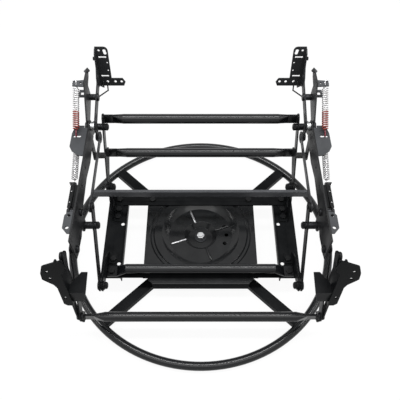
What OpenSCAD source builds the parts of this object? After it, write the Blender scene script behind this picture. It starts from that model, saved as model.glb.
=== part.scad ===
// Swivel recliner mechanism: floor ring, swivel frame, lift linkage, folding footrest and back brackets.
// The front is at -Y, the sitter's sides are +X and -X, and the origin is on the floor under the swivel axis.
// Side plates are drawn for +X as outlines in (Y, Z) and mirrored for the other side.

/* [Floor base] */
// Diameter of the floor ring at the middle of its tube
ring_d = 640; // [610:1:690]
// Diameter of the ring's tube
ring_tube_d = 20; // [18:0.5:22]
// Width of a base arm
arm_w = 25; // [22:1:30]
// Height of a base arm
arm_h = 14; // [12:0.5:16]
// Wall of a base arm
arm_wall = 2; // [1.5:0.25:3]
// Sheet thickness of the two bearing pressings
sheet_t = 2.5; // [2:0.25:3]
// Height from the arms to the lower ball track
race_rise = 23; // [21:0.5:26]
// Diameter of the ball circle
ball_circle_d = 208; // [204:1:212]
// Diameter of a bearing ball
ball_d = 8.8; // [7.8:0.2:9.6]
// Number of bearing balls
ball_count = 24; // [12:1:32]
// Diameter of the centre bolt
pivot_d = 12; // [10:0.5:14]

/* [Swivel frame] */
// Width of the swivel frame over its side rails
frame_w = 466; // [458:1:476]
// Width of a side rail
rail_w = 49; // [46:1:54]
// Depth of a side rail's walls
rail_depth = 16; // [12:1:20]
// Width of the dish plate between the windows
dish_w = 268; // [260:1:280]
// Distance from the swivel axis to the frame's front edge
frame_front = 126; // [122:1:130]
// Distance from the swivel axis to the frame's rear edge
frame_rear = 112; // [108:1:118]
// Front to back width of a cross strip
strip_w = 32; // [28:1:36]
// Thickness of the cross strips and side plates
plate_t = 3; // [2.5:0.1:3.2]
// Diameter of the four round cross tubes
tube_d = 22; // [20:0.5:24]
// Height of the front cross tube's centre over the frame
front_tube_rise = 20; // [18:0.5:24]
// Front to back width of the rear bar
bar_w = 8; // [7:0.5:10]
// Height of the rear bar
bar_h = 19; // [17:0.5:21]
// How far the rear bar stands out past the uprights
bar_over = 39; // [30:1:46]
// Distance of the rear bar's centre behind the swivel axis
bar_y = 61; // [58:0.5:63]
// Height of the rear bar's centre above the floor
bar_z = 128.5; // [124:0.5:132]

/* [Lift linkage] */
// Gap between a frame plate and its lift link
lift_gap = 3; // [2.5:0.1:4]
// Distance between a lift link's two pivots
lift_len = 143.5; // [138:0.5:150]
// Backward lean of the lift links at rest
lift_tilt = 35.3; // [33:0.1:37]
// Rear lift pivot on the frame, behind the swivel axis
rear_base_y = 85; // [83:0.5:90]
// Rear lift pivot on the frame, above the floor
rear_base_z = 122; // [118:0.5:126]
// Front lift pivot on the frame, in front of the swivel axis
front_base_y = 160; // [154:0.5:166]
// Front lift pivot on the frame, above the floor
front_base_z = 82; // [78:0.5:88]
// Width of a lift link
lift_w = 22; // [20:0.5:24]
// Diameter of the lift, back and frame pivots
main_pin_d = 12; // [10:0.5:13]
// Length of the horn above the front lift's seat pivot
horn_len = 40; // [38:0.5:42]

/* [Seat plates] */
// Gap between the back bracket's web and the seat plate
hinge_gap = 9; // [8:0.1:10]
// Height of the seat mounting plane above the floor
seat_z = 278; // [276:0.5:284]
// Width of the rear seat flange outside the plate
rear_flange_w = 32; // [30:0.5:38]
// Width of the front seat flange outside the plate
front_flange_w = 16; // [15:0.5:18]
// Diameter of the seat fixing holes
seat_hole_d = 7; // [5:0.5:8]
// Diameter of the rubber stop
bumper_d = 14; // [12:0.5:15]

/* [Back] */
// Back hinge behind the swivel axis
hinge_y = 142; // [138:0.5:144]
// Back hinge above the floor
hinge_z = 267; // [265:0.5:271]
// Backward lean of the back bracket
back_lean = 12; // [8:0.5:16]
// Width of the back bracket's face
face_w = 30; // [28:0.5:34]
// Height of the back bracket's face above its tab
face_h = 77; // [74:1:84]
// Length of the inward tab beyond the face
tab_len = 31; // [26:1:34]
// Distance from the back hinge to the recline rod's pin
rod_arm = 30.3; // [29:0.1:31]

/* [Footrest] */
// Clear gap between neighbouring plates of a side
layer_gap = 2; // [1.8:0.1:2.6]
// Drive link pivot in front of the swivel axis
drive_y = 150; // [148:0.5:152]
// Drive link pivot above the floor
drive_z = 224; // [222:0.5:226]
// Drive link length between its end pivots
drive_len = 162.8; // [158:0.2:168]
// Drive link slope below level at rest
drive_slope = 59.3; // [57:0.1:61]
// Distance from the drive pivot to the crossing pivot
cross_len = 105; // [102:0.5:108]
// Length of the two folding links
fold_len = 126; // [122:0.5:130]
// Backward lean of the folding links at rest
fold_lean = 8; // [7:0.25:9]
// Front link pivot in front of the swivel axis
front_link_y = 74; // [72:0.5:76]
// Front link pivot above the floor
front_link_z = 242; // [240:0.5:244]
// Width of the footrest links
link_w = 18; // [16:0.5:19]
// Diameter of the footrest pivots
foot_pin_d = 9; // [8:0.25:10]
// Reach of the footrest wing outside the bracket's web
wing_w = 38; // [36:1:44]
// Height of the footrest bracket's flange
wing_h = 154; // [150:1:160]
// Diameter of the footrest fixing holes
wing_hole_d = 6.5; // [5:0.5:8]

/* [Springs] */
// Distance of the springs' middle from the outermost link plate
spring_out = 2; // [2:0.5:6]
// Outside diameter of the springs
spring_d = 14; // [12:0.5:15]
// Wire diameter of the springs
wire_d = 2; // [1.6:0.1:2.2]
// Curls of a back spring
back_curls = 12; // [9:1:18]
// Curls of a footrest spring
foot_curls = 11; // [8:1:15]

/* [Hidden] */
$fn = 48;

// Clearances
fit = 0.05;
head_play = 0.2;
weld_gap = 0.1;
roll_gap = 0.05;
open_pivot_play = 2.2;
stop_gap = 0.3;
layer_play = 0.4;
neck = 0.4;
sink = 0.2;

// Base heights
ring_r = ring_d / 2;
ring_tube_r = ring_tube_d / 2;
arm_top = ring_tube_r + arm_h / 2;
arm_start = arm_w / 2 + 1;
arm_end = ring_r - 2;
pivot_r = pivot_d / 2;
bolt_head_r = pivot_r + 4;
bolt_head_h = 8;
bolt_tip = 2;
track_z = arm_top + race_rise;
ball_r = ball_d / 2;
ball_circle_r = ball_circle_d / 2;
ball_z = track_z + ball_r + roll_gap;
cage_t = 1.6;
cage_half_w = ball_r + 2.1;
cage_hole_r = ball_r + 0.15;
track_half_w = 9;
plate_z = track_z + ball_d + 2 * roll_gap;
frame_z = plate_z + sheet_t;
dish_r = ball_circle_r + 21;
hub_r = 30;
hub_drop = 25;
floor_drop = 13;
floor_r = ball_circle_r - 26;
floor_start = hub_r + 10;
washer_r = 14;
washer_t = 2;
nut_r = pivot_r + 3.6;
nut_h = 10;
hub_z = frame_z - hub_drop;
washer_z = hub_z + 2 * roll_gap;
nut_z = washer_z + washer_t;

// Frame places
rail_x1 = frame_w / 2;
rail_x0 = rail_x1 - rail_w;
lip_half_w = dish_w / 2 - 12;
lip_reach = 14;
lip_drop = 27;
lip_corner = 10;
strip_top = frame_z + plate_t;
bolt_d = 8;
bolt_x = rail_x0 + 22;
dish_bolt_x = dish_w / 2 - 12;
bolt_hole_r = bolt_d / 2 + 0.3;
bolt_head_d = 15;
bolt_head_t = 5;
cut_h = 2 * frame_z;
foot_w = 22;
plate_inset = 17;
upright_x = rail_x1 - plate_inset;
lift_x = upright_x + plate_t + lift_gap;
bar_len = 2 * (upright_x + plate_t + bar_over);
upright_bolts = [44, 66];
strip_half = upright_x - 1;
rear_strip_y = frame_rear - strip_w / 2;
lug_bolt_y = -77;
front_tube_y = 14 - frame_front;
tube_r = tube_d / 2;
tab_t = 5;
tab_w = 26;
tab_run = 22;
main_pin_r = main_pin_d / 2;
boss_r = main_pin_r + 7;

// Lift pivots
lift_dir = [sin(lift_tilt), cos(lift_tilt)];
rear_base = [rear_base_y, rear_base_z];
front_base = [-front_base_y, front_base_z];
rear_seat = rear_base + lift_len * lift_dir;
front_seat = front_base + lift_len * lift_dir;
horn = front_base + (lift_len + horn_len) * lift_dir;
upper_tube_back = 11.5;
upper_tube_up = 14;
upper_tube_at = rear_seat + [upper_tube_back, upper_tube_up];
lower_tube_back = 67;
lower_tube_up = 48;
lower_tube_at = rear_base + [lower_tube_back, lower_tube_up];
rod_pin_d = 8;
rod_pin_r = rod_pin_d / 2;
rod_x = lift_x + plate_t + layer_gap;
web_x = rod_x + plate_t + layer_gap;
seat_x = web_x + plate_t + hinge_gap;
stop_back = 62;
stop_side = lift_w / 2 + bumper_d / 2 + stop_gap;
stop_at = rear_seat - stop_back * lift_dir - stop_side * [lift_dir.y, -lift_dir.x];

// Seat plate outline
seat_out = seat_x + plate_t;
seat_front = -drive_y - 15;
rear_flange_y0 = 46;
rear_flange_y1 = 133;
flange_notch_y = 127;
flange_notch_w = 11;
front_flange_y0 = -147;
front_flange_y1 = -98;
seat_slot_len = 17;
seat_slot_w = 7;
seat_slot_y = 100;
slot_behind = 1.6;
slot_inside = 2.5;
seat_hole_y = [-106, -134];
front_hole_out = 7;
side_hole_y = [-20, 30];
side_hole_drop = 20;

// Back
hinge = [hinge_y, hinge_z];
rod_pin = hinge + rod_arm * [-sin(8), -cos(8)];
face_back = 120;
face_up = 27;
face_foot = hinge + [face_back, face_up];
tab_h = 18;
tie_back = 64;
tie_up = 26;
tie = hinge + [tie_back, tie_up];
tie_r = 5;
lever_x = seat_out + layer_gap;
foot_x = lever_x + plate_t + layer_gap;
ear_back = 58;
ear_up = 72;
ear_at = hinge + [ear_back, ear_up];
hook_at = [seat_slot_y, seat_z - 1];
ear_t = 3;
ear_ahead = 12;
ear_behind = 8;
ear_slot_len = 9.6;
ear_slot_ahead = 3.3;
square_ear_w = 20;
square_ear_run = 22;
square_ear_at = hinge + [50, 37];

// Footrest pivots
drive = [-drive_y, drive_z];
drive_dir = [-cos(drive_slope), -sin(drive_slope)];
cross_at = drive + cross_len * drive_dir;
tip_at = drive + drive_len * drive_dir;
fold_vec = fold_len * [sin(fold_lean), cos(fold_lean)];
bracket_rear = cross_at + fold_vec;
bracket_front = tip_at + fold_vec;
crank_back = 24.4;
crank_drop = 8.8;
crank_at = cross_at + [crank_back, -crank_drop];
front_link = [-front_link_y, front_link_z];
foot_tube_back = 7;
foot_tube_drop = 22;
foot_tube_at = tip_at + [foot_tube_back, -foot_tube_drop];
fold_x = foot_x + plate_t + layer_gap;
outer_x = fold_x + plate_t + layer_gap;
spring_x = outer_x + plate_t + spring_out;
foot_pin_r = foot_pin_d / 2;
foot_boss_r = link_w / 2 + 1;
thin_head_t = layer_gap - head_play - layer_play;
head_t = 2.6;
flange_lean = 6;
flange_ahead = 4;
flange_up = 70;
wing_hole_z = 98;
wing_hole_step = 22;
flange_foot = tip_at + [-flange_ahead, flange_up];
spring_tab_drop = 16;
spring_tab_y = seat_slot_y - 14;
foot_spring_top = [spring_tab_y, seat_z - spring_tab_drop];
tail_len = 76;
tail_drop = 6;
foot_spring_end = front_link + [tail_len, -tail_drop];
strap_w = 18;
strap_reach = 9;
strap_inside = 6;
strap_len = 58;
shelf_z = 200;
shelf_reach = 32;
shelf_run = 46;
shelf_lip = 40;

// Springs
coil_r = (spring_d - wire_d) / 2;
spring_lead = 9;
back_hook = 22;
curl_rings = 8;
tube_sides = 6;

// Plates and pins

// A plate of a (Y, Z) outline, from x outward
module plate(x, t = plate_t) {
    translate([x, 0, 0]) rotate([90, 0, 90]) linear_extrude(t) children();
}

// A straight strip of an outline from p to q, a little narrower than the round ends it joins
module strip2d(p, q, w) {
    run = norm(q - p);
    translate(p) rotate(atan2(q.y - p.y, q.x - p.x)) translate([0, neck - w / 2]) square([run, w - 2 * neck]);
}

// A straight bar with round ends in an outline
module bar2d(p, q, w) {
    strip2d(p, q, w);
    dot2d(p, w / 2);
    dot2d(q, w / 2);
}

module dot2d(p, r) {
    translate(p) circle(r = r);
}

// A slot with round ends along the first axis of an outline
module slot2d(p, len, w) {
    bar2d(p - [(len - w) / 2, 0], p + [(len - w) / 2, 0], w);
}

// A round bar along X through an outline point
module axle(p, x0, x1, r) {
    translate([x0, p.x, p.y]) rotate([0, 90, 0]) cylinder(h = x1 - x0, r = r);
}

// A shouldered rivet through plates from x0 to x1, with a head at each end
module rivet(p, x0, x1, r, head0 = head_t, head1 = head_t, head_r = 0) {
    hr = head_r > 0 ? head_r : r + 3.5;
    axle(p, x0 - head_play - head0, x1 + head_play + head1, r);
    axle(p, x0 - head_play - head0, x0 - head_play, hr);
    axle(p, x1 + head_play, x1 + head_play + head1, hr);
}

// The shoulder of a rivet, filling the gap between two plates
module shoulder(p, x0, x1, r) {
    axle(p, x0 + head_play, x1 - head_play, r);
}

module left_side() {
    mirror([1, 0, 0]) children();
}

module both_sides() {
    children();
    mirror([1, 0, 0]) children();
}

// A cross tube along X whose ends are pressed into upright tabs
module pressed_tube(p, half, tab_tall = tab_w) {
    body = half - 2 * tab_run;
    axle(p, -body, body, tube_r);
    both_sides() {
        hull() {
            axle(p, body - 1, body - 0.5, tube_r - sink, $fn = 32);
            translate([half - tab_run + 0.5, p.x - tab_t / 2 + sink, p.y - tab_tall / 2 + sink])
                cube([0.5, tab_t - 2 * sink, tab_tall - 2 * sink]);
        }
        translate([half - tab_run, p.x - tab_t / 2, p.y - tab_tall / 2]) cube([tab_run, tab_t, tab_tall]);
    }
}

// Sheet pressing turned about Z from a list of [radius, height] points of its top side
module pressing(top) {
    low = [for (i = [len(top) - 1:-1:0]) [top[i].x, top[i].y - sheet_t]];
    rotate_extrude() polygon(concat(top, low));
}

// Springs: one tube along a helix with straight leads, along +Z from the origin
function spring_step(i, n) = i <= 0 ? 0 : i >= n ? n : i;

function spring_point(i, n, len, hook) =
    i < 0 ? [0, 0, 0] : i > n ? [0, 0, len] :
    let (a = 360 * i / curl_rings, r = coil_r * min(1, i / curl_rings, (n - i) / curl_rings))
    [r * cos(a), r * sin(a), spring_lead + (len - spring_lead - hook) * i / n];

function unit(v) = v / norm(v);

function spring_ring(i, n, len, hook) =
    let (
        here = spring_point(i, n, len, hook),
        next = spring_point(min(i + 1, n + 1), n, len, hook),
        way = unit(next - spring_point(max(i - 1, -1), n, len, hook)),
        a = 360 * spring_step(i, n) / curl_rings,
        out = [cos(a), sin(a), 0],
        side = unit(out - (out * way) * way),
        up = cross(way, side)
    )
    [for (k = [0:tube_sides - 1]) here + wire_d / 2 * (cos(60 * k) * side + sin(60 * k) * up)];

module spring(len, curls, hook) {
    n = curls * curl_rings;
    last = n + 2;
    points = [for (i = [-1:n + 1]) each spring_ring(i, n, len, hook)];
    sides = [
        for (i = [0:last - 1], k = [0:tube_sides - 1])
            let (
                a = i * tube_sides + k,
                b = i * tube_sides + (k + 1) % tube_sides
            )
            each [[a, b, b + tube_sides], [a, b + tube_sides, a + tube_sides]]
    ];
    ends = [
        for (k = [1:tube_sides - 2])
            each [[0, k + 1, k], [last * tube_sides, last * tube_sides + k, last * tube_sides + k + 1]]
    ];
    polyhedron(points = points, faces = [for (f = concat(sides, ends)) [f[0], f[2], f[1]]]);
}

// Least gap of a spring's tube to itself, on points more than most of a curl apart
function spring_gap(len, curls, hook) =
    let (
        n = curls * curl_rings,
        line = [for (i = [0:n]) spring_point(i, n, len, hook)],
        apart = curl_rings - 2
    )
    min([for (i = [0:n - apart], j = [i + apart:min(n, i + 3 * curl_rings)]) norm(line[j] - line[i])])
    - wire_d;

// Places children with +Z along the line from outline point p to q, at x
module along(p, q, x) {
    translate([x, p.x, p.y]) rotate([atan2(p.x - q.x, q.y - p.y), 0, 0]) children();
}

back_spring_len = norm(hook_at - ear_at);
foot_spring_len = norm(foot_spring_end - foot_spring_top);
echo(str("least gap of a back spring: ", spring_gap(back_spring_len, back_curls, back_hook), " mm"));
echo(str("least gap of a footrest spring: ", spring_gap(foot_spring_len, foot_curls, spring_lead), " mm"));

// A round rod through a list of points
module bent_rod(points, d) {
    for (i = [0:len(points) - 2]) {
        v = points[i + 1] - points[i];
        translate(points[i]) rotate([0, acos(v.z / norm(v)), atan2(v.y, v.x)]) cylinder(h = norm(v), d = d);
        translate(points[i]) sphere(d = d + 2 * sink);
    }
    translate(points[len(points) - 1]) sphere(d = d + 2 * sink);
}

// Floor base

module floor_ring() {
    color("#1c1c1e") translate([0, 0, ring_tube_r]) rotate_extrude()
        translate([ring_r, 0]) circle(r = ring_tube_r);
}

module base_arms() {
    color("#1c1c1e") difference() {
        for (a = [45:90:315]) rotate(a) translate([arm_start, -arm_w / 2, arm_top - arm_h]) difference() {
            cube([arm_end - arm_start, arm_w, arm_h]);
            translate([-1, arm_wall, arm_wall]) cube([arm_end, arm_w - 2 * arm_wall, arm_h - 2 * arm_wall]);
        }
        translate([0, 0, ring_tube_r]) rotate_extrude()
            translate([ring_r, 0]) circle(r = ring_tube_r + 2 * weld_gap);
    }
}

module lower_race() {
    flat = arm_top + sheet_t;
    color("#222224") pressing([
        [pivot_r + fit, flat], [ball_circle_r - 30, flat], [ball_circle_r - 15, track_z - 4],
        [ball_circle_r - track_half_w - 1, track_z], [ball_circle_r + track_half_w + 1, track_z],
        [ball_circle_r + track_half_w + 4, track_z - 4]
    ]);
}

module bearing_balls() {
    color("silver") for (i = [0:ball_count - 1])
        rotate(360 * i / ball_count) translate([ball_circle_r, 0, ball_z]) sphere(r = ball_r);
}

module ball_cage() {
    color("#8a8d90") difference() {
        translate([0, 0, ball_z - cage_t / 2]) difference() {
            cylinder(h = cage_t, r = ball_circle_r + cage_half_w, $fn = 96);
            translate([0, 0, -1]) cylinder(h = cage_t + 2, r = ball_circle_r - cage_half_w, $fn = 96);
        }
        for (i = [0:ball_count - 1]) rotate(360 * i / ball_count)
            translate([ball_circle_r, 0, ball_z - cage_t]) cylinder(h = 2 * cage_t, r = cage_hole_r);
    }
}

module pivot_bolt() {
    color("silver") {
        translate([0, 0, arm_top - bolt_head_h]) cylinder(h = bolt_head_h, r = bolt_head_r, $fn = 6);
        translate([0, 0, arm_top - 1]) cylinder(h = nut_z + nut_h + bolt_tip - arm_top + 1, r = pivot_r);
    }
}

module pivot_nut() {
    color("silver") translate([0, 0, nut_z + weld_gap]) difference() {
        cylinder(h = nut_h, r = nut_r, $fn = 6);
        translate([0, 0, -1]) cylinder(h = nut_h + 2, r = pivot_r + fit);
    }
}

module pivot_washer() {
    color("silver") translate([0, 0, washer_z]) difference() {
        cylinder(h = washer_t, r = washer_r);
        translate([0, 0, -1]) cylinder(h = washer_t + 2, r = pivot_r + fit);
    }
}

// Swivel frame

module swivel_dish() {
    color("#151516") difference() {
        union() {
            difference() {
                union() {
                    translate([-dish_w / 2, -frame_front, plate_z])
                        cube([dish_w, frame_front + frame_rear, sheet_t]);
                    translate([0, 0, plate_z]) linear_extrude(sheet_t) polygon([
                        [-lip_half_w, -frame_front + 1], [lip_half_w, -frame_front + 1],
                        [lip_half_w, lip_corner - frame_front - lip_reach],
                        [lip_half_w - lip_corner, -frame_front - lip_reach],
                        [lip_corner - lip_half_w, -frame_front - lip_reach],
                        [-lip_half_w, lip_corner - frame_front - lip_reach]
                    ]);
                    translate([lip_corner - lip_half_w, -frame_front - lip_reach, frame_z - lip_drop])
                        cube([2 * (lip_half_w - lip_corner), sheet_t, lip_drop]);
                }
                translate([0, 0, plate_z - 1]) cylinder(h = sheet_t + 2, r = dish_r, $fn = 96);
            }
            pressing([
                [pivot_r + fit, hub_z], [hub_r, hub_z], [floor_start, frame_z - floor_drop],
                [floor_r, frame_z - floor_drop], [ball_circle_r - 14, frame_z - 5],
                [ball_circle_r - track_half_w, frame_z], [ball_circle_r + track_half_w, frame_z],
                [ball_circle_r + 12, frame_z - 4], [ball_circle_r + 17, frame_z - 4], [dish_r + 0.5, frame_z]
            ]);
        }
        for (a = [20:90:290]) rotate(a)
            translate([floor_start + 3, -2.2, 0]) cube([floor_r - floor_start - 8, 4.4, cut_h]);
        for (a = [-22, 0, 22]) rotate(a) translate([floor_start + 24, 0, 0]) cylinder(h = cut_h, r = 5);
        both_sides() for (y = [front_tube_y, rear_strip_y])
            translate([dish_bolt_x, y, 0]) cylinder(h = cut_h, r = bolt_hole_r);
    }
}

module side_rail() {
    run = frame_front + frame_rear;
    color("#17171a") difference() {
        translate([rail_x0, -frame_front, frame_z - rail_depth]) cube([rail_w, run, rail_depth]);
        translate([rail_x0 + sheet_t, -frame_front - 1, frame_z - rail_depth - 1])
            cube([rail_w - 2 * sheet_t, run + 2, rail_depth + 1 - sheet_t]);
        for (y = concat(upright_bolts, [lug_bolt_y, front_tube_y, rear_strip_y]))
            translate([bolt_x, y, 0]) cylinder(h = cut_h, r = bolt_hole_r);
        for (y = [24, -88]) translate([rail_x0 + 9, y, 0]) cylinder(h = cut_h, r = bolt_hole_r);
    }
}

module cross_strip(y0, holes_y) {
    color("#1a1a1c") difference() {
        translate([-strip_half, y0, frame_z]) cube([2 * strip_half, strip_w, plate_t]);
        both_sides() for (x = [bolt_x, dish_bolt_x])
            translate([x, holes_y, 0]) cylinder(h = cut_h, r = bolt_hole_r);
    }
}

module front_strip() {
    cross_strip(-frame_front, front_tube_y);
}

module rear_strip() {
    cross_strip(frame_rear - strip_w, rear_strip_y);
}

module front_tube() {
    z = frame_z + front_tube_rise;
    body = strip_half - 2 * tab_run;
    tab_y = front_tube_y - tab_w / 2;
    at = [front_tube_y, z];
    color("#141416") difference() {
        union() {
            axle(at, -body, body, tube_r);
            both_sides() {
                hull() {
                    axle(at, body - 1, body - 0.5, tube_r - sink, $fn = 32);
                    translate([body + tab_run + 0.5, tab_y + sink, strip_top + sink])
                        cube([0.5, tab_w - 2 * sink, tab_t - 2 * sink]);
                }
                translate([body + tab_run, tab_y, strip_top]) cube([tab_run, tab_w, tab_t]);
            }
        }
        both_sides() translate([bolt_x, front_tube_y, 0]) cylinder(h = cut_h, r = bolt_hole_r);
    }
}

module rear_bar() {
    wall = 1.5;
    color("#242528") translate([-bar_len / 2, bar_y, bar_z]) difference() {
        translate([0, -bar_w / 2, -bar_h / 2]) cube([bar_len, bar_w, bar_h]);
        translate([-1, wall - bar_w / 2, wall - bar_h / 2])
            cube([bar_len + 2, bar_w - 2 * wall, bar_h - 2 * wall]);
    }
}

module rear_upright() {
    seat = bar_z - bar_h / 2 - weld_gap;
    y0 = upright_bolts[0] - 14;
    foot_end = frame_rear - strip_w - 1;
    y1 = rear_base_y + 26;
    color("#19191b") difference() {
        union() {
            plate(upright_x) difference() {
                union() {
                    polygon([[y0, frame_z], [y1, frame_z], [rear_base_y + boss_r, rear_base_z],
                        [bar_y - bar_w / 2 - 6, seat]]);
                    dot2d(rear_base, boss_r);
                }
                dot2d(rear_base, main_pin_r + fit);
                translate([bar_y - bar_w / 2 - 10, seat]) square([bar_w + 10 + weld_gap, 40]);
                dot2d([rear_base_y - 13, frame_z + 28], 12);
            }
            translate([upright_x + plate_t - foot_w, y0, frame_z]) cube([foot_w, foot_end - y0, plate_t]);
        }
        for (y = upright_bolts)
            translate([bolt_x, y, 0]) cylinder(h = frame_z + plate_t + 1, r = bolt_hole_r);
    }
}

module front_lug() {
    y1 = lug_bolt_y + 15;
    y0 = lug_bolt_y - 12;
    color("#19191b") difference() {
        union() {
            plate(upright_x) difference() {
                union() {
                    polygon([[y1, frame_z], [y1, frame_z + 12], [y0, front_base_z + 4],
                        [-front_base_y, front_base_z + boss_r], [-front_base_y - boss_r, front_base_z],
                        [-front_base_y, front_base_z - boss_r], [y0, frame_z]]);
                    dot2d(front_base, boss_r);
                }
                dot2d(front_base, main_pin_r + fit);
            }
            translate([upright_x + plate_t - foot_w, y0, frame_z]) cube([foot_w, y1 - y0, plate_t]);
        }
        translate([bolt_x, lug_bolt_y, 0]) cylinder(h = frame_z + plate_t + 1, r = bolt_hole_r);
    }
}

module frame_pins() {
    color("#2b2b2e") both_sides() for (p = [rear_base, front_base]) {
        rivet(p, upright_x, lift_x + plate_t, main_pin_r, head_r = main_pin_r + 4);
        shoulder(p, upright_x + plate_t, lift_x, main_pin_r + 3);
    }
}

module frame_bolt(x, y, z) {
    translate([x, y, z + weld_gap]) cylinder(h = bolt_head_t, d = bolt_head_d, $fn = 6);
    translate([x, y, frame_z - sheet_t - 2]) cylinder(h = z - frame_z + sheet_t + 3, d = bolt_d);
    translate([x, y, frame_z - sheet_t - weld_gap - bolt_head_t])
        cylinder(h = bolt_head_t, d = bolt_head_d, $fn = 6);
}

module frame_bolts() {
    color("#3a3b3e") both_sides() {
        for (y = concat(upright_bolts, [lug_bolt_y])) frame_bolt(bolt_x, y, frame_z + plate_t);
        frame_bolt(bolt_x, front_tube_y, strip_top + tab_t);
        frame_bolt(bolt_x, rear_strip_y, strip_top);
        for (y = [front_tube_y, rear_strip_y]) frame_bolt(dish_bolt_x, y, strip_top);
    }
}

// Lift linkage

module rear_lift() {
    color("#1d1e20") plate(lift_x) difference() {
        union() {
            bar2d(rear_base, rear_seat, lift_w);
            bar2d(rear_base, lower_tube_at, lift_w - 2);
            bar2d(rear_seat, upper_tube_at, lift_w + 2);
            dot2d(rear_base, boss_r);
            dot2d(rear_seat, boss_r);
            dot2d(lower_tube_at, tube_r + 2);
        }
        dot2d(rear_base, main_pin_r + fit);
        dot2d(rear_seat, main_pin_r + fit);
    }
}

module upper_tube() {
    color("#141416") pressed_tube(upper_tube_at, lift_x - weld_gap, tab_w - 4);
}

module lower_tube() {
    color("#141416") pressed_tube(lower_tube_at, lift_x - weld_gap, tab_w - 2);
}

module front_lift() {
    color("#2a2b2e") {
        plate(lift_x) difference() {
            union() {
                bar2d(front_base, horn, lift_w);
                dot2d(front_base, boss_r);
                dot2d(front_seat, boss_r);
            }
            dot2d(front_base, main_pin_r + fit);
            dot2d(front_seat, main_pin_r + fit);
        }
        axle(horn, lift_x - 2, rod_x + plate_t + head_play + thin_head_t, rod_pin_r);
        axle(horn, rod_x + plate_t + head_play, rod_x + plate_t + head_play + thin_head_t, rod_pin_r + 3);
        axle(horn, lift_x + plate_t - 0.5, rod_x - head_play, rod_pin_r + 3);
    }
}

// Seat plates

module seat_outline() {
    low = seat_z - 42;
    polygon([[seat_front, seat_z], [hinge_y, seat_z], [hinge_y, low], [70, low - 8], [20, low],
        [-44, low - 6], [40 - drive_y, drive_z - 18], [seat_front, drive_z - 12]]);
    dot2d(hinge, boss_r);
    bar2d(hinge - [0, 14], rear_seat, 2 * boss_r);
    bar2d([stop_at.x + 6, low], stop_at, bumper_d + 8);
    bar2d(front_seat, [front_seat.x, low], 2 * boss_r);
    dot2d(drive, foot_pin_r + 11);
}

module rear_flange_outline() {
    x = seat_out + rear_flange_w;
    notch_x = seat_x + flange_notch_w;
    polygon([[seat_x + 1, flange_notch_y], [notch_x, flange_notch_y], [notch_x, rear_flange_y1],
        [x - 10, rear_flange_y1], [x - 4, rear_flange_y1 - 5], [x, rear_flange_y1 - 23],
        [x, rear_flange_y0 + 26], [x - 6, rear_flange_y0 + 14], [x - 20, rear_flange_y0 + 2],
        [seat_x + 1, rear_flange_y0]]);
}

module front_flange_outline() {
    x = seat_out + front_flange_w;
    polygon([[seat_x + 1, front_flange_y1], [x - 6, front_flange_y1], [x, front_flange_y1 - 8],
        [x, front_flange_y0 + 12], [x - 10, front_flange_y0], [seat_x + 1, front_flange_y0]]);
}

module seat_plate() {
    front_hole_x = seat_out + front_hole_out;
    color("#4a4b4f") {
        plate(seat_x) difference() {
            seat_outline();
            for (p = [hinge, rear_seat, front_seat]) dot2d(p, main_pin_r + fit);
            for (p = [drive, front_link]) dot2d(p, foot_pin_r + fit);
            dot2d(stop_at, bumper_d / 4 + fit);
            for (y = side_hole_y) dot2d([y, seat_z - side_hole_drop], seat_hole_d / 2);
        }
        translate([0, 0, seat_z - plate_t]) linear_extrude(plate_t) difference() {
            rear_flange_outline();
            slot2d([spring_x - slot_inside, seat_slot_y + slot_behind], seat_slot_len, seat_slot_w);
        }
        translate([0, 0, seat_z - plate_t]) linear_extrude(plate_t) difference() {
            front_flange_outline();
            for (y = seat_hole_y) translate([front_hole_x, y]) circle(d = seat_hole_d);
        }
        along(foot_spring_top, foot_spring_end, 0) difference() {
            translate([seat_out - 1, -7, 0]) cube([spring_x + 9 - seat_out, 14, ear_t]);
            translate([spring_x, 0, -1]) cylinder(h = ear_t + 2, d = wire_d + 1.2);
        }
    }
}

module stop_bumper() {
    color("#0d0d0e") {
        axle(stop_at, lift_x, seat_x - weld_gap, bumper_d / 2);
        axle(stop_at, seat_x - 1, seat_out, bumper_d / 4);
    }
}

module seat_pins() {
    color("#9a9ca0") {
        for (p = [rear_seat, front_seat]) {
            rivet(p, lift_x, seat_out, main_pin_r, head1 = thin_head_t, head_r = main_pin_r + 1.8);
            shoulder(p, lift_x + plate_t, seat_x, main_pin_r + 2);
        }
        rivet(hinge, web_x, lever_x + plate_t, main_pin_r, head0 = thin_head_t, head_r = main_pin_r + 3);
        shoulder(hinge, web_x + plate_t, seat_x, main_pin_r + 3);
        shoulder(hinge, seat_out, lever_x, main_pin_r + 3);
        rivet(drive, seat_x, foot_x + plate_t, foot_pin_r, head1 = thin_head_t);
        shoulder(drive, seat_out, foot_x, foot_pin_r + 4);
        rivet(front_link, seat_x, outer_x + plate_t, foot_pin_r);
        shoulder(front_link, seat_out, outer_x, foot_pin_r + 4);
    }
}

// Back

// An outline point given along and across a leaning face
function leaning(foot, lean, z, y) = foot + z * [sin(lean), cos(lean)] + y * [cos(lean), -sin(lean)];

function on_face(z, y = 0) = leaning(face_foot, back_lean, z, y);

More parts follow.
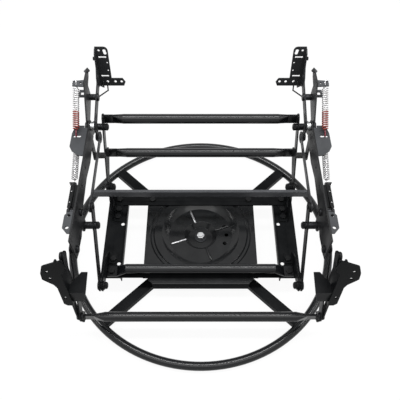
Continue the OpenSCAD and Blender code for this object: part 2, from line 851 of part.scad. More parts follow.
module back_face_outline() {
    out = web_x + plate_t / 2;
    edge = web_x + plate_t - face_w;
    corner = 9;
    difference() {
        union() {
            polygon([[edge, -2], [out, -2], [out, face_h], [edge + corner, face_h], [edge, face_h - corner]]);
            translate([edge + corner, face_h - corner]) circle(r = corner - sink);
            polygon([[out, 4], [edge - tab_len + 6, 4], [edge - tab_len, -5], [edge - tab_len + 4, 4 - tab_h],
                [out, 4 - tab_h]]);
        }
        slot2d([edge + face_w / 2 - 1, face_h - 23], 18, 4.5);
        slot2d([edge + face_w / 2 - 1, 10], 18, 4.5);
        bar2d([edge + 8, face_h - 9], [edge + 7, face_h - 14], 7.5);
        translate([edge + 20, face_h - 8]) circle(d = 5);
        for (z = [23, 41]) translate([edge + 5, z]) circle(d = 3.6);
        for (x = [edge - tab_len + 9, edge - 8, edge + 10]) translate([x, -4]) circle(d = 6);
    }
}

module back_bracket() {
    color("#121213") {
        translate([0, face_foot.x, face_foot.y]) rotate([-back_lean, 0, 0]) translate([0, plate_t, 0])
            rotate([90, 0, 0]) linear_extrude(plate_t) back_face_outline();
        plate(web_x) difference() {
            union() {
                bar2d(hinge + [2, 3], [face_foot.x - 12, face_foot.y + 9], lift_w - 2);
                polygon([on_face(5 - tab_h, plate_t / 2), on_face(face_h - 4, plate_t / 2),
                    on_face(face_h - 12, -9), on_face(36, -13), on_face(18, -26), on_face(-4, -32)]);
                bar2d(hinge, rod_pin, 2 * rod_pin_r + 11);
                dot2d(hinge, boss_r);
            }
            dot2d(hinge, main_pin_r + fit);
            dot2d(rod_pin, rod_pin_r + fit);
            dot2d(tie, tie_r + fit);
        }
        axle(on_face(face_h - 24, -4), web_x + plate_t - 0.5, web_x + plate_t + 4, 4);
    }
}

// The spring ear from above, with a slot for the wire that comes up through it at a slant
module spring_ear_outline() {
    x1 = spring_x + 7;
    slot = ear_at.x - ear_slot_ahead;
    half = (ear_slot_len - wire_d - 1.4) / 2;
    difference() {
        polygon([[lever_x + 1, ear_at.x - ear_ahead], [x1, ear_at.x - ear_ahead + 2],
            [x1, ear_at.x + ear_behind - 3], [lever_x + 1, ear_at.x + ear_behind]]);
        bar2d([spring_x, slot - half], [spring_x, slot + half], wire_d + 1.4);
        translate([lever_x + 10, ear_at.x - 2]) circle(d = 5);
    }
}

module back_lever() {
    color("#55575b") {
        plate(lever_x) difference() {
            union() {
                dot2d(hinge, boss_r);
                polygon([hinge + [-11, 6], ear_at + [-15, -6], ear_at + [-6, 5], ear_at + [34, 4],
                    ear_at + [47, -4], ear_at + [36, -14], ear_at + [15, -21], tie + [12, 2],
                    tie + [6, -10], hinge + [8, -11]]);
            }
            dot2d(hinge, main_pin_r + fit);
            dot2d(tie, tie_r + fit);
        }
        translate([lever_x, ear_at.x + 40, ear_at.y - 2]) linear_extrude(ear_t)
            polygon([[1, -10], [8, -4], [1.5, 8], [-5, -1]]);
        translate([0, 0, ear_at.y - ear_t]) linear_extrude(ear_t) spring_ear_outline();
        translate([lever_x + 1, square_ear_at.x, square_ear_at.y]) difference() {
            cube([square_ear_w, square_ear_run, ear_t]);
            translate([square_ear_w / 2 - 2, square_ear_run / 2 - 5, -1]) cube([8, 10, ear_t + 2]);
        }
    }
}

module back_pins() {
    color("#9a9ca0") {
        rivet(tie, web_x, lever_x + plate_t, tie_r);
        shoulder(tie, web_x + plate_t, lever_x, tie_r + 2);
        rivet(rod_pin, rod_x, web_x + plate_t, rod_pin_r, head0 = thin_head_t, head_r = rod_pin_r + 3.6);
    }
}

module latch_wire() {
    d = 3.2;
    x_in = web_x - 16;
    x_end = web_x - d / 2 - weld_gap;
    front = on_face(-4, -d / 2 - weld_gap);
    color("#17171a") {
        bent_rod([[x_in, front.x, front.y], [x_in, front.x - 7, front.y - 18],
            [x_end, front.x - 41, front.y - 6]], d);
        bent_rod([[x_in + 9, front.x, front.y], [x_in + 9, front.x - 5, front.y - 10],
            [x_end, front.x - 16, front.y + 4]], d);
    }
}

module recline_rod() {
    color("#7d8084") plate(rod_x) difference() {
        union() {
            bar2d(horn, rod_pin, 14);
            dot2d(horn, 11);
            dot2d(rod_pin, 13);
        }
        dot2d(horn, rod_pin_r + fit);
        dot2d(rod_pin, rod_pin_r + open_pivot_play);
    }
}

module back_spring() {
    color("#b03a2c") along(ear_at, hook_at, spring_x) spring(back_spring_len, back_curls, back_hook);
}

// Footrest

module drive_link() {
    color("#141415") plate(foot_x) difference() {
        union() {
            bar2d(drive, tip_at, link_w + 4);
            dot2d(drive, foot_boss_r + 3);
            bar2d(tip_at, foot_tube_at, link_w + 6);
        }
        for (p = [drive, cross_at, tip_at]) dot2d(p, foot_pin_r + fit);
    }
}

module footrest_tube() {
    color("#141416") pressed_tube(foot_tube_at, foot_x - weld_gap, tab_w - 6);
}

module drive_pins() {
    color("#9a9ca0") both_sides() for (p = [cross_at, tip_at]) {
        rivet(p, foot_x, fold_x + plate_t, foot_pin_r, head1 = thin_head_t);
        shoulder(p, foot_x + plate_t, fold_x, foot_pin_r + 3);
    }
}

module lower_link() {
    color("#1b1b1d") {
        plate(fold_x) difference() {
            union() {
                strip2d(crank_at, cross_at, link_w);
                strip2d(cross_at, bracket_rear, link_w);
                for (p = [crank_at, cross_at, bracket_rear]) dot2d(p, link_w / 2);
            }
            for (p = [cross_at, bracket_rear]) dot2d(p, foot_pin_r + fit);
        }
        axle(crank_at, fold_x + 1, outer_x + plate_t + head_play + head_t, rod_pin_r);
        axle(crank_at, outer_x + plate_t + head_play, outer_x + plate_t + head_play + head_t, rod_pin_r + 5);
        axle(crank_at, fold_x + plate_t - 0.5, outer_x - head_play, rod_pin_r + 4);
    }
}

module upper_link() {
    color("#1b1b1d") plate(fold_x) difference() {
        bar2d(tip_at, bracket_front, link_w);
        for (p = [tip_at, bracket_front]) dot2d(p, foot_pin_r + fit);
    }
}

module front_link_piece() {
    tail = foot_spring_end + [-4, 0];
    color("#1f2022") {
        plate(outer_x) difference() {
            union() {
                bar2d(front_link, crank_at, link_w + 2);
                bar2d(front_link, tail, strap_w - 2);
                dot2d(crank_at, foot_boss_r + 3);
                dot2d(front_link, foot_boss_r + 2);
            }
            dot2d(front_link, foot_pin_r + fit);
            dot2d(crank_at, rod_pin_r + open_pivot_play);
        }
        translate([outer_x - strap_inside, front_link.x + 12, front_link.y - 2]) difference() {
            cube([strap_inside + strap_reach, strap_len, plate_t]);
            for (y = [14, 42]) translate([strap_inside + 6, y, -1]) cylinder(h = plate_t + 2, d = 4);
        }
        along(foot_spring_end, foot_spring_top, 0) difference() {
            translate([outer_x + 1, -7, 0]) cube([spring_x + 8 - outer_x - 1, 14, ear_t]);
            translate([spring_x, 0, -1]) cylinder(h = ear_t + 2, d = wire_d + 1.2);
        }
    }
}

function on_flange(z, y = 0) = leaning(flange_foot, flange_lean, z, y);

module wing_outline() {
    x1 = foot_x + wing_w;
    difference() {
        polygon([[foot_x, 0], [foot_x + 12, 0], [foot_x + 18, 7], [foot_x + 17, 66], [foot_x + 21, 77],
            [x1 - 3, 92], [x1, 96], [x1 - 2, wing_h - 38], [x1 - 9, wing_h - 18],
            [x1 - 13, wing_h - 15], [foot_x - 8, wing_h], [foot_x - 14, wing_h - 20],
            [foot_x, wing_h - 46]]);
        for (z = [wing_hole_z, wing_hole_z + wing_hole_step]) translate([x1 - 15, z]) circle(d = wing_hole_d);
        translate([foot_x + 10, 30]) circle(d = wing_hole_d);
    }
}

// The level flange inside the bracket's web, from above
module shelf_outline() {
    y0 = flange_foot.x + 3;
    y1 = y0 + shelf_run;
    polygon([[foot_x + 1, y0], [foot_x - shelf_reach, y0], [foot_x - shelf_reach + 2, y1],
        [foot_x - 18, y1], [foot_x + 1, y0 + 18]]);
}

module footrest_bracket() {
    cap_x = fold_x + plate_t + head_play;
    color("#121213") {
        translate([0, flange_foot.x, flange_foot.y]) rotate([-flange_lean, 0, 0])
            rotate([90, 0, 0]) linear_extrude(plate_t) wing_outline();
        translate([0, 0, shelf_z - plate_t]) linear_extrude(plate_t) shelf_outline();
        translate([0, flange_foot.x + 3.4 + plate_t, 0]) rotate([90, 0, 0]) linear_extrude(plate_t)
            polygon([[foot_x + 1.5, shelf_z - 1.5], [foot_x - shelf_reach + 0.5, shelf_z - 1.5],
                [foot_x - shelf_reach + 10, shelf_z - shelf_lip], [foot_x + 1.5, shelf_z - shelf_lip]]);
        plate(foot_x) {
            bar2d(bracket_rear, bracket_front, link_w + 4);
            polygon([on_flange(0, -plate_t), on_flange(wing_h, -plate_t), on_flange(wing_h - 3, 4),
                on_flange(wing_h - 40, 8), on_flange(86, 22), bracket_rear + [2, -10],
                bracket_front + [11, -6], on_flange(2, 6)]);
        }
        for (p = [bracket_rear, bracket_front]) {
            axle(p, foot_x + 1, cap_x + thin_head_t, foot_pin_r);
            axle(p, cap_x, cap_x + thin_head_t, foot_pin_r + 3.5);
            axle(p, foot_x + plate_t - 0.5, fold_x - head_play, foot_pin_r + 3);
        }
    }
}

module footrest_spring() {
    color("silver") along(foot_spring_top, foot_spring_end, spring_x)
        spring(foot_spring_len, foot_curls, spring_lead);
}

floor_ring();
base_arms();
lower_race();
bearing_balls();
ball_cage();
pivot_bolt();
pivot_nut();
pivot_washer();
swivel_dish();
left_side() side_rail();  // side_rail_left
side_rail();  // side_rail_right
front_strip();
rear_strip();
front_tube();
rear_bar();
left_side() rear_upright();  // rear_upright_left
rear_upright();  // rear_upright_right
left_side() front_lug();  // front_lug_left
front_lug();  // front_lug_right
frame_pins();
frame_bolts();
left_side() rear_lift();  // rear_lift_left
rear_lift();  // rear_lift_right
upper_tube();
lower_tube();
left_side() front_lift();  // front_lift_left
front_lift();  // front_lift_right
left_side() seat_plate();  // seat_plate_left
seat_plate();  // seat_plate_right
left_side() stop_bumper();  // stop_bumper_left
stop_bumper();  // stop_bumper_right
left_side() seat_pins();  // seat_pins_left
seat_pins();  // seat_pins_right
left_side() back_bracket();  // back_bracket_left
back_bracket();  // back_bracket_right
left_side() back_lever();  // back_lever_left
back_lever();  // back_lever_right
left_side() back_pins();  // back_pins_left
back_pins();  // back_pins_right
left_side() latch_wire();  // latch_wire_left
latch_wire();  // latch_wire_right
left_side() recline_rod();  // recline_rod_left
recline_rod();  // recline_rod_right
left_side() back_spring();  // back_spring_left
back_spring();  // back_spring_right
left_side() drive_link();  // drive_link_left
drive_link();  // drive_link_right
footrest_tube();
drive_pins();
left_side() lower_link();  // lower_link_left
lower_link();  // lower_link_right
left_side() upper_link();  // upper_link_left
upper_link();  // upper_link_right
left_side() front_link_piece();  // front_link_left
front_link_piece();  // front_link_right
left_side() footrest_bracket();  // footrest_bracket_left
footrest_bracket();  // footrest_bracket_right
left_side() footrest_spring();  // footrest_spring_left
footrest_spring();  // footrest_spring_right
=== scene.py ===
"""Looks of the swivel recliner mechanism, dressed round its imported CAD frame.

Sizes are in millimetres in the sub-assemblies and become metres when a mesh is made. The swivel axis
stands at the origin on the floor, the front is at -Y and the right side of the picture is at +X.
"""

from __future__ import annotations

import logging
import math
from dataclasses import dataclass, field
from enum import Enum
from typing import Callable, Sequence

import bpy
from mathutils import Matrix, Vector


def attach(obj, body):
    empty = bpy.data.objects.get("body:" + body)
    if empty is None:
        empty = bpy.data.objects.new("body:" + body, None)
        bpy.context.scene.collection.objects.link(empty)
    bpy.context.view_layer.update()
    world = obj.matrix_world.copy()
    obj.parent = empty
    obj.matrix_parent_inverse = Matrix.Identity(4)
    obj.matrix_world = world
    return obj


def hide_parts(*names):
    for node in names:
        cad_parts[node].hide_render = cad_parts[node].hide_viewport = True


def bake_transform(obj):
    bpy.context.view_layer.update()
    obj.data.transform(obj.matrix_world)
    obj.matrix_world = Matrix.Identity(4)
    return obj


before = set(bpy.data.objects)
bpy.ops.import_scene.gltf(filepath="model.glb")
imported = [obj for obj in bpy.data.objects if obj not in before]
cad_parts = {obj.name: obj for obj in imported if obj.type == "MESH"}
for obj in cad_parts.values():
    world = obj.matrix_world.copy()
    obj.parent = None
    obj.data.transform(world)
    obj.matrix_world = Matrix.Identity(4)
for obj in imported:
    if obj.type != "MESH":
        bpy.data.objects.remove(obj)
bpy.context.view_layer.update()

log = logging.getLogger("recliner")

MM = 0.001
PICTURE_SIDE = 400

Colour = tuple[float, float, float]
Spot = tuple[float, float, float]
Pair = tuple[float, float]
Outline = tuple[float, float]
Mark = Callable[[float], int]


class Side(Enum):
    """A side of the mechanism, with its direction along X."""

    LEFT = -1
    RIGHT = 1

    def node(self, stem: str) -> str:
        """Name of this side's node, body or piece."""
        return f"{stem}_{self.name.lower()}"

    def point(self, x: float, at: Outline) -> Vector:
        """Place of an outline point on this side.

        Args:
            x: distance from the middle plane.
            at: the point's (Y, Z).

        Returns:
            The point in the frame, in millimetres.
        """
        return Vector((self.value * x, *at))

    def outward(self) -> Vector:
        """Direction away from the middle plane."""
        return Vector((float(self.value), 0.0, 0.0))


class Slot(Enum):
    """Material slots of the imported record."""

    BLACK = "black_coat"
    GREY = "grey_coat"
    ZINC = "zinc_steel"
    SPRING = "spring_steel"
    RUBBER = "rubber"


@dataclass(frozen=True)
class CoatFinish:
    """A sprayed and baked coat, with a second colour further out than a distance in metres."""

    name: str
    slot: Slot
    colour: Colour
    worn: Colour
    roughness: float
    specular: float
    roughness_spread: float = 0.12
    grain: float = 420.0
    grain_height: float = 0.10
    wear: float = 0.30
    dust: float = 0.02
    outer: Colour | None = None
    outer_from: float = 0.0


@dataclass(frozen=True)
class MetalFinish:
    """Bare or plated metal with drawn streaks and a little tarnish."""

    name: str
    slot: Slot
    colour: Colour
    tarnish: Colour
    roughness: float
    roughness_spread: float
    streaks: float
    streak_height: float


@dataclass(frozen=True)
class RubberFinish:
    """Moulded rubber with a fine skin."""

    name: str
    slot: Slot
    colour: Colour
    bloom: Colour
    roughness: float
    specular: float
    grain: float
    grain_height: float


Finish = CoatFinish | MetalFinish | RubberFinish

BLACK_COAT = CoatFinish(
    "black_coat", Slot.BLACK, colour=(0.0048, 0.0052, 0.0057), worn=(0.05, 0.05, 0.052), roughness=0.34,
    specular=0.035)
DISH_COAT = CoatFinish(
    "dish_coat", Slot.BLACK, colour=(0.0060, 0.0064, 0.0069), worn=(0.06, 0.06, 0.062), roughness=0.16,
    specular=0.27, roughness_spread=0.05, grain=300.0, grain_height=0.04)
TUBE_COAT = CoatFinish(
    "tube_coat", Slot.BLACK, colour=(0.0046, 0.0050, 0.0058), worn=(0.08, 0.08, 0.083), roughness=0.19,
    specular=0.31, roughness_spread=0.06, grain=260.0, grain_height=0.03, wear=0.25, dust=0.01)
# A lighter copy of the black coat: its colour paints the light that falls on the rear bar's front face.
LIT_BAR_COAT = CoatFinish(
    "lit_bar_coat", Slot.BLACK, colour=(0.046, 0.048, 0.052), worn=(0.12, 0.12, 0.124), roughness=0.46,
    specular=0.20, roughness_spread=0.10, grain=260.0, grain_height=0.06, wear=0.40)
# A lighter copy of the black coat: its colour paints the light that falls on the back bracket's face.
LIT_BACK_COAT = CoatFinish(
    "back_coat", Slot.BLACK, colour=(0.018, 0.0187, 0.0198), worn=(0.06, 0.06, 0.062), roughness=0.34,
    specular=0.07)
LINK_COAT = CoatFinish(
    "link_coat", Slot.BLACK, colour=(0.0078, 0.0081, 0.0086), worn=(0.07, 0.07, 0.072), roughness=0.34,
    specular=0.09, roughness_spread=0.14, wear=0.40)
ROD_COAT = CoatFinish(
    "rod_coat", Slot.GREY, colour=(0.022, 0.0225, 0.024), worn=(0.10, 0.10, 0.104), roughness=0.36,
    specular=0.20, roughness_spread=0.14, wear=0.40, dust=0.03)
SEAT_COAT = CoatFinish(
    "seat_coat", Slot.GREY, colour=(0.0095, 0.0098, 0.0104), worn=(0.12, 0.12, 0.124), roughness=0.40,
    specular=0.16, grain=520.0, grain_height=0.12, wear=0.35, outer=(0.038, 0.040, 0.043), outer_from=0.2475)
LEVER_COAT = CoatFinish(
    "lever_coat", Slot.GREY, colour=(0.014, 0.0143, 0.015), worn=(0.12, 0.12, 0.124), roughness=0.38,
    specular=0.18, grain=520.0, grain_height=0.12, wear=0.35, outer=(0.050, 0.052, 0.056), outer_from=0.2525)
WELD_COAT = CoatFinish(
    "weld_coat", Slot.BLACK, colour=(0.0085, 0.0085, 0.009), worn=(0.05, 0.05, 0.05), roughness=0.36,
    specular=0.16, roughness_spread=0.16, grain=900.0, grain_height=0.25, wear=0.20)
RED_PAINT = CoatFinish(
    "red_paint", Slot.SPRING, colour=(0.21, 0.040, 0.031), worn=(0.40, 0.20, 0.17), roughness=0.34,
    specular=0.40, grain=600.0, wear=0.60, dust=0.0)
# A darker copy of the red paint: it paints the shade on the back spring's end where it dips through the
# slot.
SHADED_RED_PAINT = CoatFinish(
    "shaded_red_paint", Slot.SPRING, colour=(0.085, 0.010, 0.016), worn=(0.26, 0.09, 0.08), roughness=0.38,
    specular=0.30, grain=600.0, wear=0.40, dust=0.0)
ZINC = MetalFinish(
    "zinc_plate", Slot.ZINC, colour=(0.56, 0.57, 0.58), tarnish=(0.36, 0.36, 0.35), roughness=0.30,
    roughness_spread=0.18, streaks=900.0, streak_height=0.05)
# Bright steel used only on two dish ribs: it paints the highlights that those ribs catch.
GLINT_STEEL = MetalFinish(
    "painted_glint_steel", Slot.ZINC, colour=(0.38, 0.38, 0.39), tarnish=(0.14, 0.14, 0.14), roughness=0.34,
    roughness_spread=0.18, streaks=600.0, streak_height=0.25)
BLACK_ZINC = MetalFinish(
    "black_zinc", Slot.ZINC, colour=(0.030, 0.031, 0.033), tarnish=(0.016, 0.016, 0.017), roughness=0.36,
    roughness_spread=0.16, streaks=900.0, streak_height=0.05)
WIRE = MetalFinish(
    "spring_wire", Slot.SPRING, colour=(0.56, 0.56, 0.57), tarnish=(0.36, 0.35, 0.34), roughness=0.24,
    roughness_spread=0.15, streaks=700.0, streak_height=0.04)
RUBBER = RubberFinish(
    "rubber", Slot.RUBBER, colour=(0.014, 0.014, 0.014), bloom=(0.03, 0.03, 0.03), roughness=0.75,
    specular=0.3, grain=800.0, grain_height=0.2)


class Wiring:
    """Adds nodes to one shader tree and joins them."""

    # The Mix node's colour sockets share their names with its number sockets, so they go by index.
    mix_factor: int = 0
    mix_colours: tuple[int, int] = (6, 7)
    mix_result: int = 2

    def __init__(self, tree: bpy.types.NodeTree) -> None:
        """Starts on an empty tree."""
        self.tree = tree
        self.tree.nodes.clear()
        self.column = 0

    def add(self, kind: str, inputs: dict[str, object] | None = None, **settings: object) -> bpy.types.Node:
        """Adds one node.

        Args:
            kind: Blender's type name of the node.
            inputs: socket name to a value, or to a socket that feeds it.
            settings: the node's own settings.

        Returns:
            The new node.
        """
        node = self.tree.nodes.new(kind)
        node.location = (190.0 * self.column, -60.0 * (self.column % 4))
        self.column += 1
        for name, value in settings.items():
            setattr(node, name, value)
        for name, value in (inputs or {}).items():
            self.put(node.inputs[name], value)
        return node

    def put(self, socket: bpy.types.NodeSocket, value: object) -> None:
        """Sets a socket to a value, or joins it to another socket."""
        if isinstance(value, bpy.types.NodeSocket):
            self.tree.links.new(value, socket)
        else:
            socket.default_value = value

    def effect(self, tree: bpy.types.NodeTree, inputs: dict[str, object]) -> bpy.types.Node:
        """Places a shared effect with its own values."""
        return self.add("ShaderNodeGroup", inputs, node_tree=tree)

    def math(self, operation: str, *terms: object, clamp: bool = False) -> bpy.types.NodeSocket:
        """One sum.

        Args:
            operation: the Math node's operation.
            terms: its numbers or sockets.
            clamp: whether the result is kept between 0 and 1.

        Returns:
            The socket with the result.
        """
        node = self.add("ShaderNodeMath", operation=operation, use_clamp=clamp)
        for socket, term in zip(node.inputs, terms):
            self.put(socket, term)
        return node.outputs[0]

    def mix(self, factor: bpy.types.NodeSocket, first: object, second: object) -> bpy.types.NodeSocket:
        """Mixes two colours by a mask.

        Args:
            factor: the mask's socket.
            first: colour or socket where the mask is 0.
            second: colour or socket where the mask is 1.

        Returns:
            The mixed colour's socket.
        """
        node = self.add("ShaderNodeMix", data_type="RGBA")
        self.put(node.inputs[self.mix_factor], factor)
        for index, value in zip(self.mix_colours, (first, second)):
            self.put(node.inputs[index], (*value, 1.0) if isinstance(value, tuple) else value)
        return node.outputs[self.mix_result]

    def spread(self, value: bpy.types.NodeSocket, span: Pair) -> bpy.types.NodeSocket:
        """Stretches a value between two limits to 0 to 1."""
        inputs = {"Value": value, "From Min": span[0], "From Max": span[1]}
        return self.add("ShaderNodeMapRange", inputs).outputs["Result"]

    def place(self) -> bpy.types.NodeSocket:
        """Place on the object's surface."""
        return self.add("ShaderNodeTexCoord").outputs["Object"]

    def noise(self, place: bpy.types.NodeSocket, scale: object, detail: float) -> bpy.types.NodeSocket:
        """Noise over the surface."""
        inputs = {"Vector": place, "Scale": scale, "Detail": detail}
        return self.add("ShaderNodeTexNoise", inputs).outputs["Fac"]


class Effects:
    """Shader groups that the finishes share, each built once."""

    slow_share: float = 0.06
    shade_span: Pair = (0.3, 0.7)
    bevel_samples: int = 6
    edge_gain: float = 4.0
    patch_scale: float = 160.0
    patch_span: Pair = (0.42, 0.66)
    level_span: Pair = (0.6, 1.0)
    cloud_scale: float = 38.0
    cloud_span: Pair = (0.35, 0.75)
    drawn_stretch: Spot = (0.12, 1.0, 1.0)
    tarnish_scale: float = 90.0
    tarnish_span: Pair = (0.4, 0.75)

    def __init__(self) -> None:
        """Builds the five groups."""
        self.grain = self._grain()
        self.wear = self._wear()
        self.dust = self._dust()
        self.streaks = self._streaks()
        self.outside = self._outside()

    @staticmethod
    def _start(name: str, inputs: Sequence[str], outputs: Sequence[str]) -> tuple[Wiring, bpy.types.Node]:
        """Opens a group with named sockets.

        Args:
            name: the group's name.
            inputs: names of its number inputs.
            outputs: names of its number outputs.

        Returns:
            The wiring of the group and its input node.
        """
        tree = bpy.data.node_groups.new(name, "ShaderNodeTree")
        for direction, words in (("INPUT", inputs), ("OUTPUT", outputs)):
            for word in words:
                tree.interface.new_socket(word, in_out=direction, socket_type="NodeSocketFloat")
        wiring = Wiring(tree)
        return wiring, wiring.add("NodeGroupInput")

    def _grain(self) -> bpy.types.NodeTree:
        """Orange peel of a sprayed coat: a fine height and a slow shade."""
        wiring, entry = self._start("coat_grain", ("Scale",), ("Height", "Shade"))
        place = wiring.place()
        scale = entry.outputs["Scale"]
        fine = wiring.noise(place, scale, 3.0)
        slow = wiring.noise(place, wiring.math("MULTIPLY", scale, self.slow_share), 4.0)
        wiring.add("NodeGroupOutput", {"Height": fine, "Shade": wiring.spread(slow, self.shade_span)})
        return wiring.tree

    def _wear(self) -> bpy.types.NodeTree:
        """Rubbed edges: where the rounded normal leaves the face's own."""
        wiring, entry = self._start("edge_wear", ("Radius", "Amount"), ("Mask",))
        radius = entry.outputs["Radius"]
        rounded = wiring.add("ShaderNodeBevel", {"Radius": radius}, samples=self.bevel_samples)
        face = wiring.add("ShaderNodeNewGeometry").outputs["Normal"]
        dot = wiring.add("ShaderNodeVectorMath", operation="DOT_PRODUCT")
        wiring.put(dot.inputs[0], rounded.outputs["Normal"])
        wiring.put(dot.inputs[1], face)
        edge = wiring.math("SUBTRACT", 1.0, dot.outputs["Value"], clamp=True)
        patch = wiring.spread(wiring.noise(wiring.place(), self.patch_scale, 5.0), self.patch_span)
        strong = wiring.math("MULTIPLY", wiring.math("MULTIPLY", edge, self.edge_gain, clamp=True), patch)
        mask = wiring.math("MULTIPLY", strong, entry.outputs["Amount"], clamp=True)
        wiring.add("NodeGroupOutput", {"Mask": mask})
        return wiring.tree

    def _dust(self) -> bpy.types.NodeTree:
        """Thin dust that lies on faces which look up."""
        wiring, entry = self._start("dust_film", ("Amount",), ("Mask",))
        normal = wiring.add("ShaderNodeNewGeometry").outputs["Normal"]
        up = wiring.add("ShaderNodeSeparateXYZ", {"Vector": normal}).outputs["Z"]
        level = wiring.spread(up, self.level_span)
        cloud = wiring.spread(wiring.noise(wiring.place(), self.cloud_scale, 6.0), self.cloud_span)
        mask = wiring.math("MULTIPLY", wiring.math("MULTIPLY", level, cloud), entry.outputs["Amount"])
        wiring.add("NodeGroupOutput", {"Mask": mask})
        return wiring.tree

    def _streaks(self) -> bpy.types.NodeTree:
        """Drawing marks and tarnish of bare metal."""
        wiring, entry = self._start("drawn_streaks", ("Scale",), ("Height", "Tarnish"))
        place = wiring.place()
        drawn = wiring.add("ShaderNodeMapping", {"Vector": place, "Scale": self.drawn_stretch})
        marks = wiring.noise(drawn.outputs["Vector"], entry.outputs["Scale"], 3.0)
        tarnish = wiring.spread(wiring.noise(place, self.tarnish_scale, 5.0), self.tarnish_span)
        wiring.add("NodeGroupOutput", {"Height": marks, "Tarnish": tarnish})
        return wiring.tree

    def _outside(self) -> bpy.types.NodeTree:
        """Where a side plate's flanges stand out beyond its web."""
        wiring, entry = self._start("outer_flanges", ("Beyond",), ("Mask",))
        across = wiring.add("ShaderNodeSeparateXYZ", {"Vector": wiring.place()}).outputs["X"]
        reach = wiring.math("ABSOLUTE", across)
        mask = wiring.math("GREATER_THAN", reach, entry.outputs["Beyond"])
        wiring.add("NodeGroupOutput", {"Mask": mask})
        return wiring.tree


@dataclass
class PaintShop:
    """Makes each finish's material once and hands it out; its lengths are in metres."""

    dust_colour: Colour = (0.16, 0.16, 0.155)
    dust_roughness: float = 1.5
    shade_gain: float = 1.35
    edge_radius: float = 0.0012
    bump_distance: float = 0.0006
    effects: Effects = field(default_factory=Effects)
    shelf: dict[str, bpy.types.Material] = field(default_factory=dict)

    def material(self, finish: Finish) -> bpy.types.Material:
        """The material of a finish.

        Args:
            finish: the finish that is wanted.

        Returns:
            Its material, made at the first call.
        """
        if finish.name not in self.shelf:
            made = bpy.data.materials.new(finish.name)
            made.use_nodes = True
            wiring = Wiring(made.node_tree)
            if isinstance(finish, CoatFinish):
                self._coat(wiring, finish)
            elif isinstance(finish, MetalFinish):
                self._metal(wiring, finish)
            else:
                self._rubber(wiring, finish)
            self.shelf[finish.name] = made
        return self.shelf[finish.name]

    def _close(self, wiring: Wiring, shader: dict[str, object], height: object, strength: float) -> None:
        """Adds the bump, the shader and the output.

        Args:
            wiring: the material's tree.
            shader: values and sockets of the Principled shader.
            height: socket with the surface height.
            strength: how strong the bump is.
        """
        relief = {"Height": height, "Strength": strength, "Distance": self.bump_distance}
        bump = wiring.add("ShaderNodeBump", relief)
        principled = wiring.add("ShaderNodeBsdfPrincipled", {"Normal": bump.outputs["Normal"], **shader})
        wiring.add("ShaderNodeOutputMaterial", {"Surface": principled.outputs["BSDF"]})

    def _shaded(self, wiring: Wiring, grain: bpy.types.Node, colour: Colour) -> bpy.types.NodeSocket:
        """A coat's colour with its slow change of shade."""
        lighter = tuple(self.shade_gain * value for value in colour)
        return wiring.mix(grain.outputs["Shade"], colour, lighter)

    def _coat(self, wiring: Wiring, finish: CoatFinish) -> None:
        """Wires a sprayed coat: slow shade, dust on level faces, rubbed edges."""
        grain = wiring.effect(self.effects.grain, {"Scale": finish.grain})
        wear = wiring.effect(self.effects.wear, {"Radius": self.edge_radius, "Amount": finish.wear})
        dust = wiring.effect(self.effects.dust, {"Amount": finish.dust})
        body = self._shaded(wiring, grain, finish.colour)
        if finish.outer is not None:
            outside = wiring.effect(self.effects.outside, {"Beyond": finish.outer_from})
            body = wiring.mix(outside.outputs["Mask"], body, self._shaded(wiring, grain, finish.outer))
        dusty = wiring.mix(dust.outputs["Mask"], body, self.dust_colour)
        rubbed = wiring.mix(wear.outputs["Mask"], dusty, finish.worn)
        low = finish.roughness - 0.5 * finish.roughness_spread
        rough = wiring.math("MULTIPLY_ADD", grain.outputs["Shade"], finish.roughness_spread, low)
        matting = wiring.math("MULTIPLY", dust.outputs["Mask"], self.dust_roughness)
        rougher = wiring.math("ADD", rough, matting, clamp=True)
        shader = {"Base Color": rubbed, "Roughness": rougher, "Specular IOR Level": finish.specular}
        self._close(wiring, shader, grain.outputs["Height"], finish.grain_height)

    def _metal(self, wiring: Wiring, finish: MetalFinish) -> None:
        """Wires bare metal: drawing marks and tarnish."""
        streaks = wiring.effect(self.effects.streaks, {"Scale": finish.streaks})
        tarnish = streaks.outputs["Tarnish"]
        colour = wiring.mix(tarnish, finish.colour, finish.tarnish)
        rough = wiring.math("MULTIPLY_ADD", tarnish, finish.roughness_spread, finish.roughness)
        shader = {"Base Color": colour, "Roughness": rough, "Metallic": 1.0}
        self._close(wiring, shader, streaks.outputs["Height"], finish.streak_height)

    def _rubber(self, wiring: Wiring, finish: RubberFinish) -> None:
        """Wires moulded rubber: a fine skin and a pale bloom."""
        grain = wiring.effect(self.effects.grain, {"Scale": finish.grain})
        colour = wiring.mix(grain.outputs["Shade"], finish.colour, finish.bloom)
        shader = {"Base Color": colour, "Roughness": finish.roughness, "Specular IOR Level": finish.specular}
        self._close(wiring, shader, grain.outputs["Height"], finish.grain_height)


def plain(share: float) -> int:
    """Mark of a shape that has one finish all along its way."""
    return 0


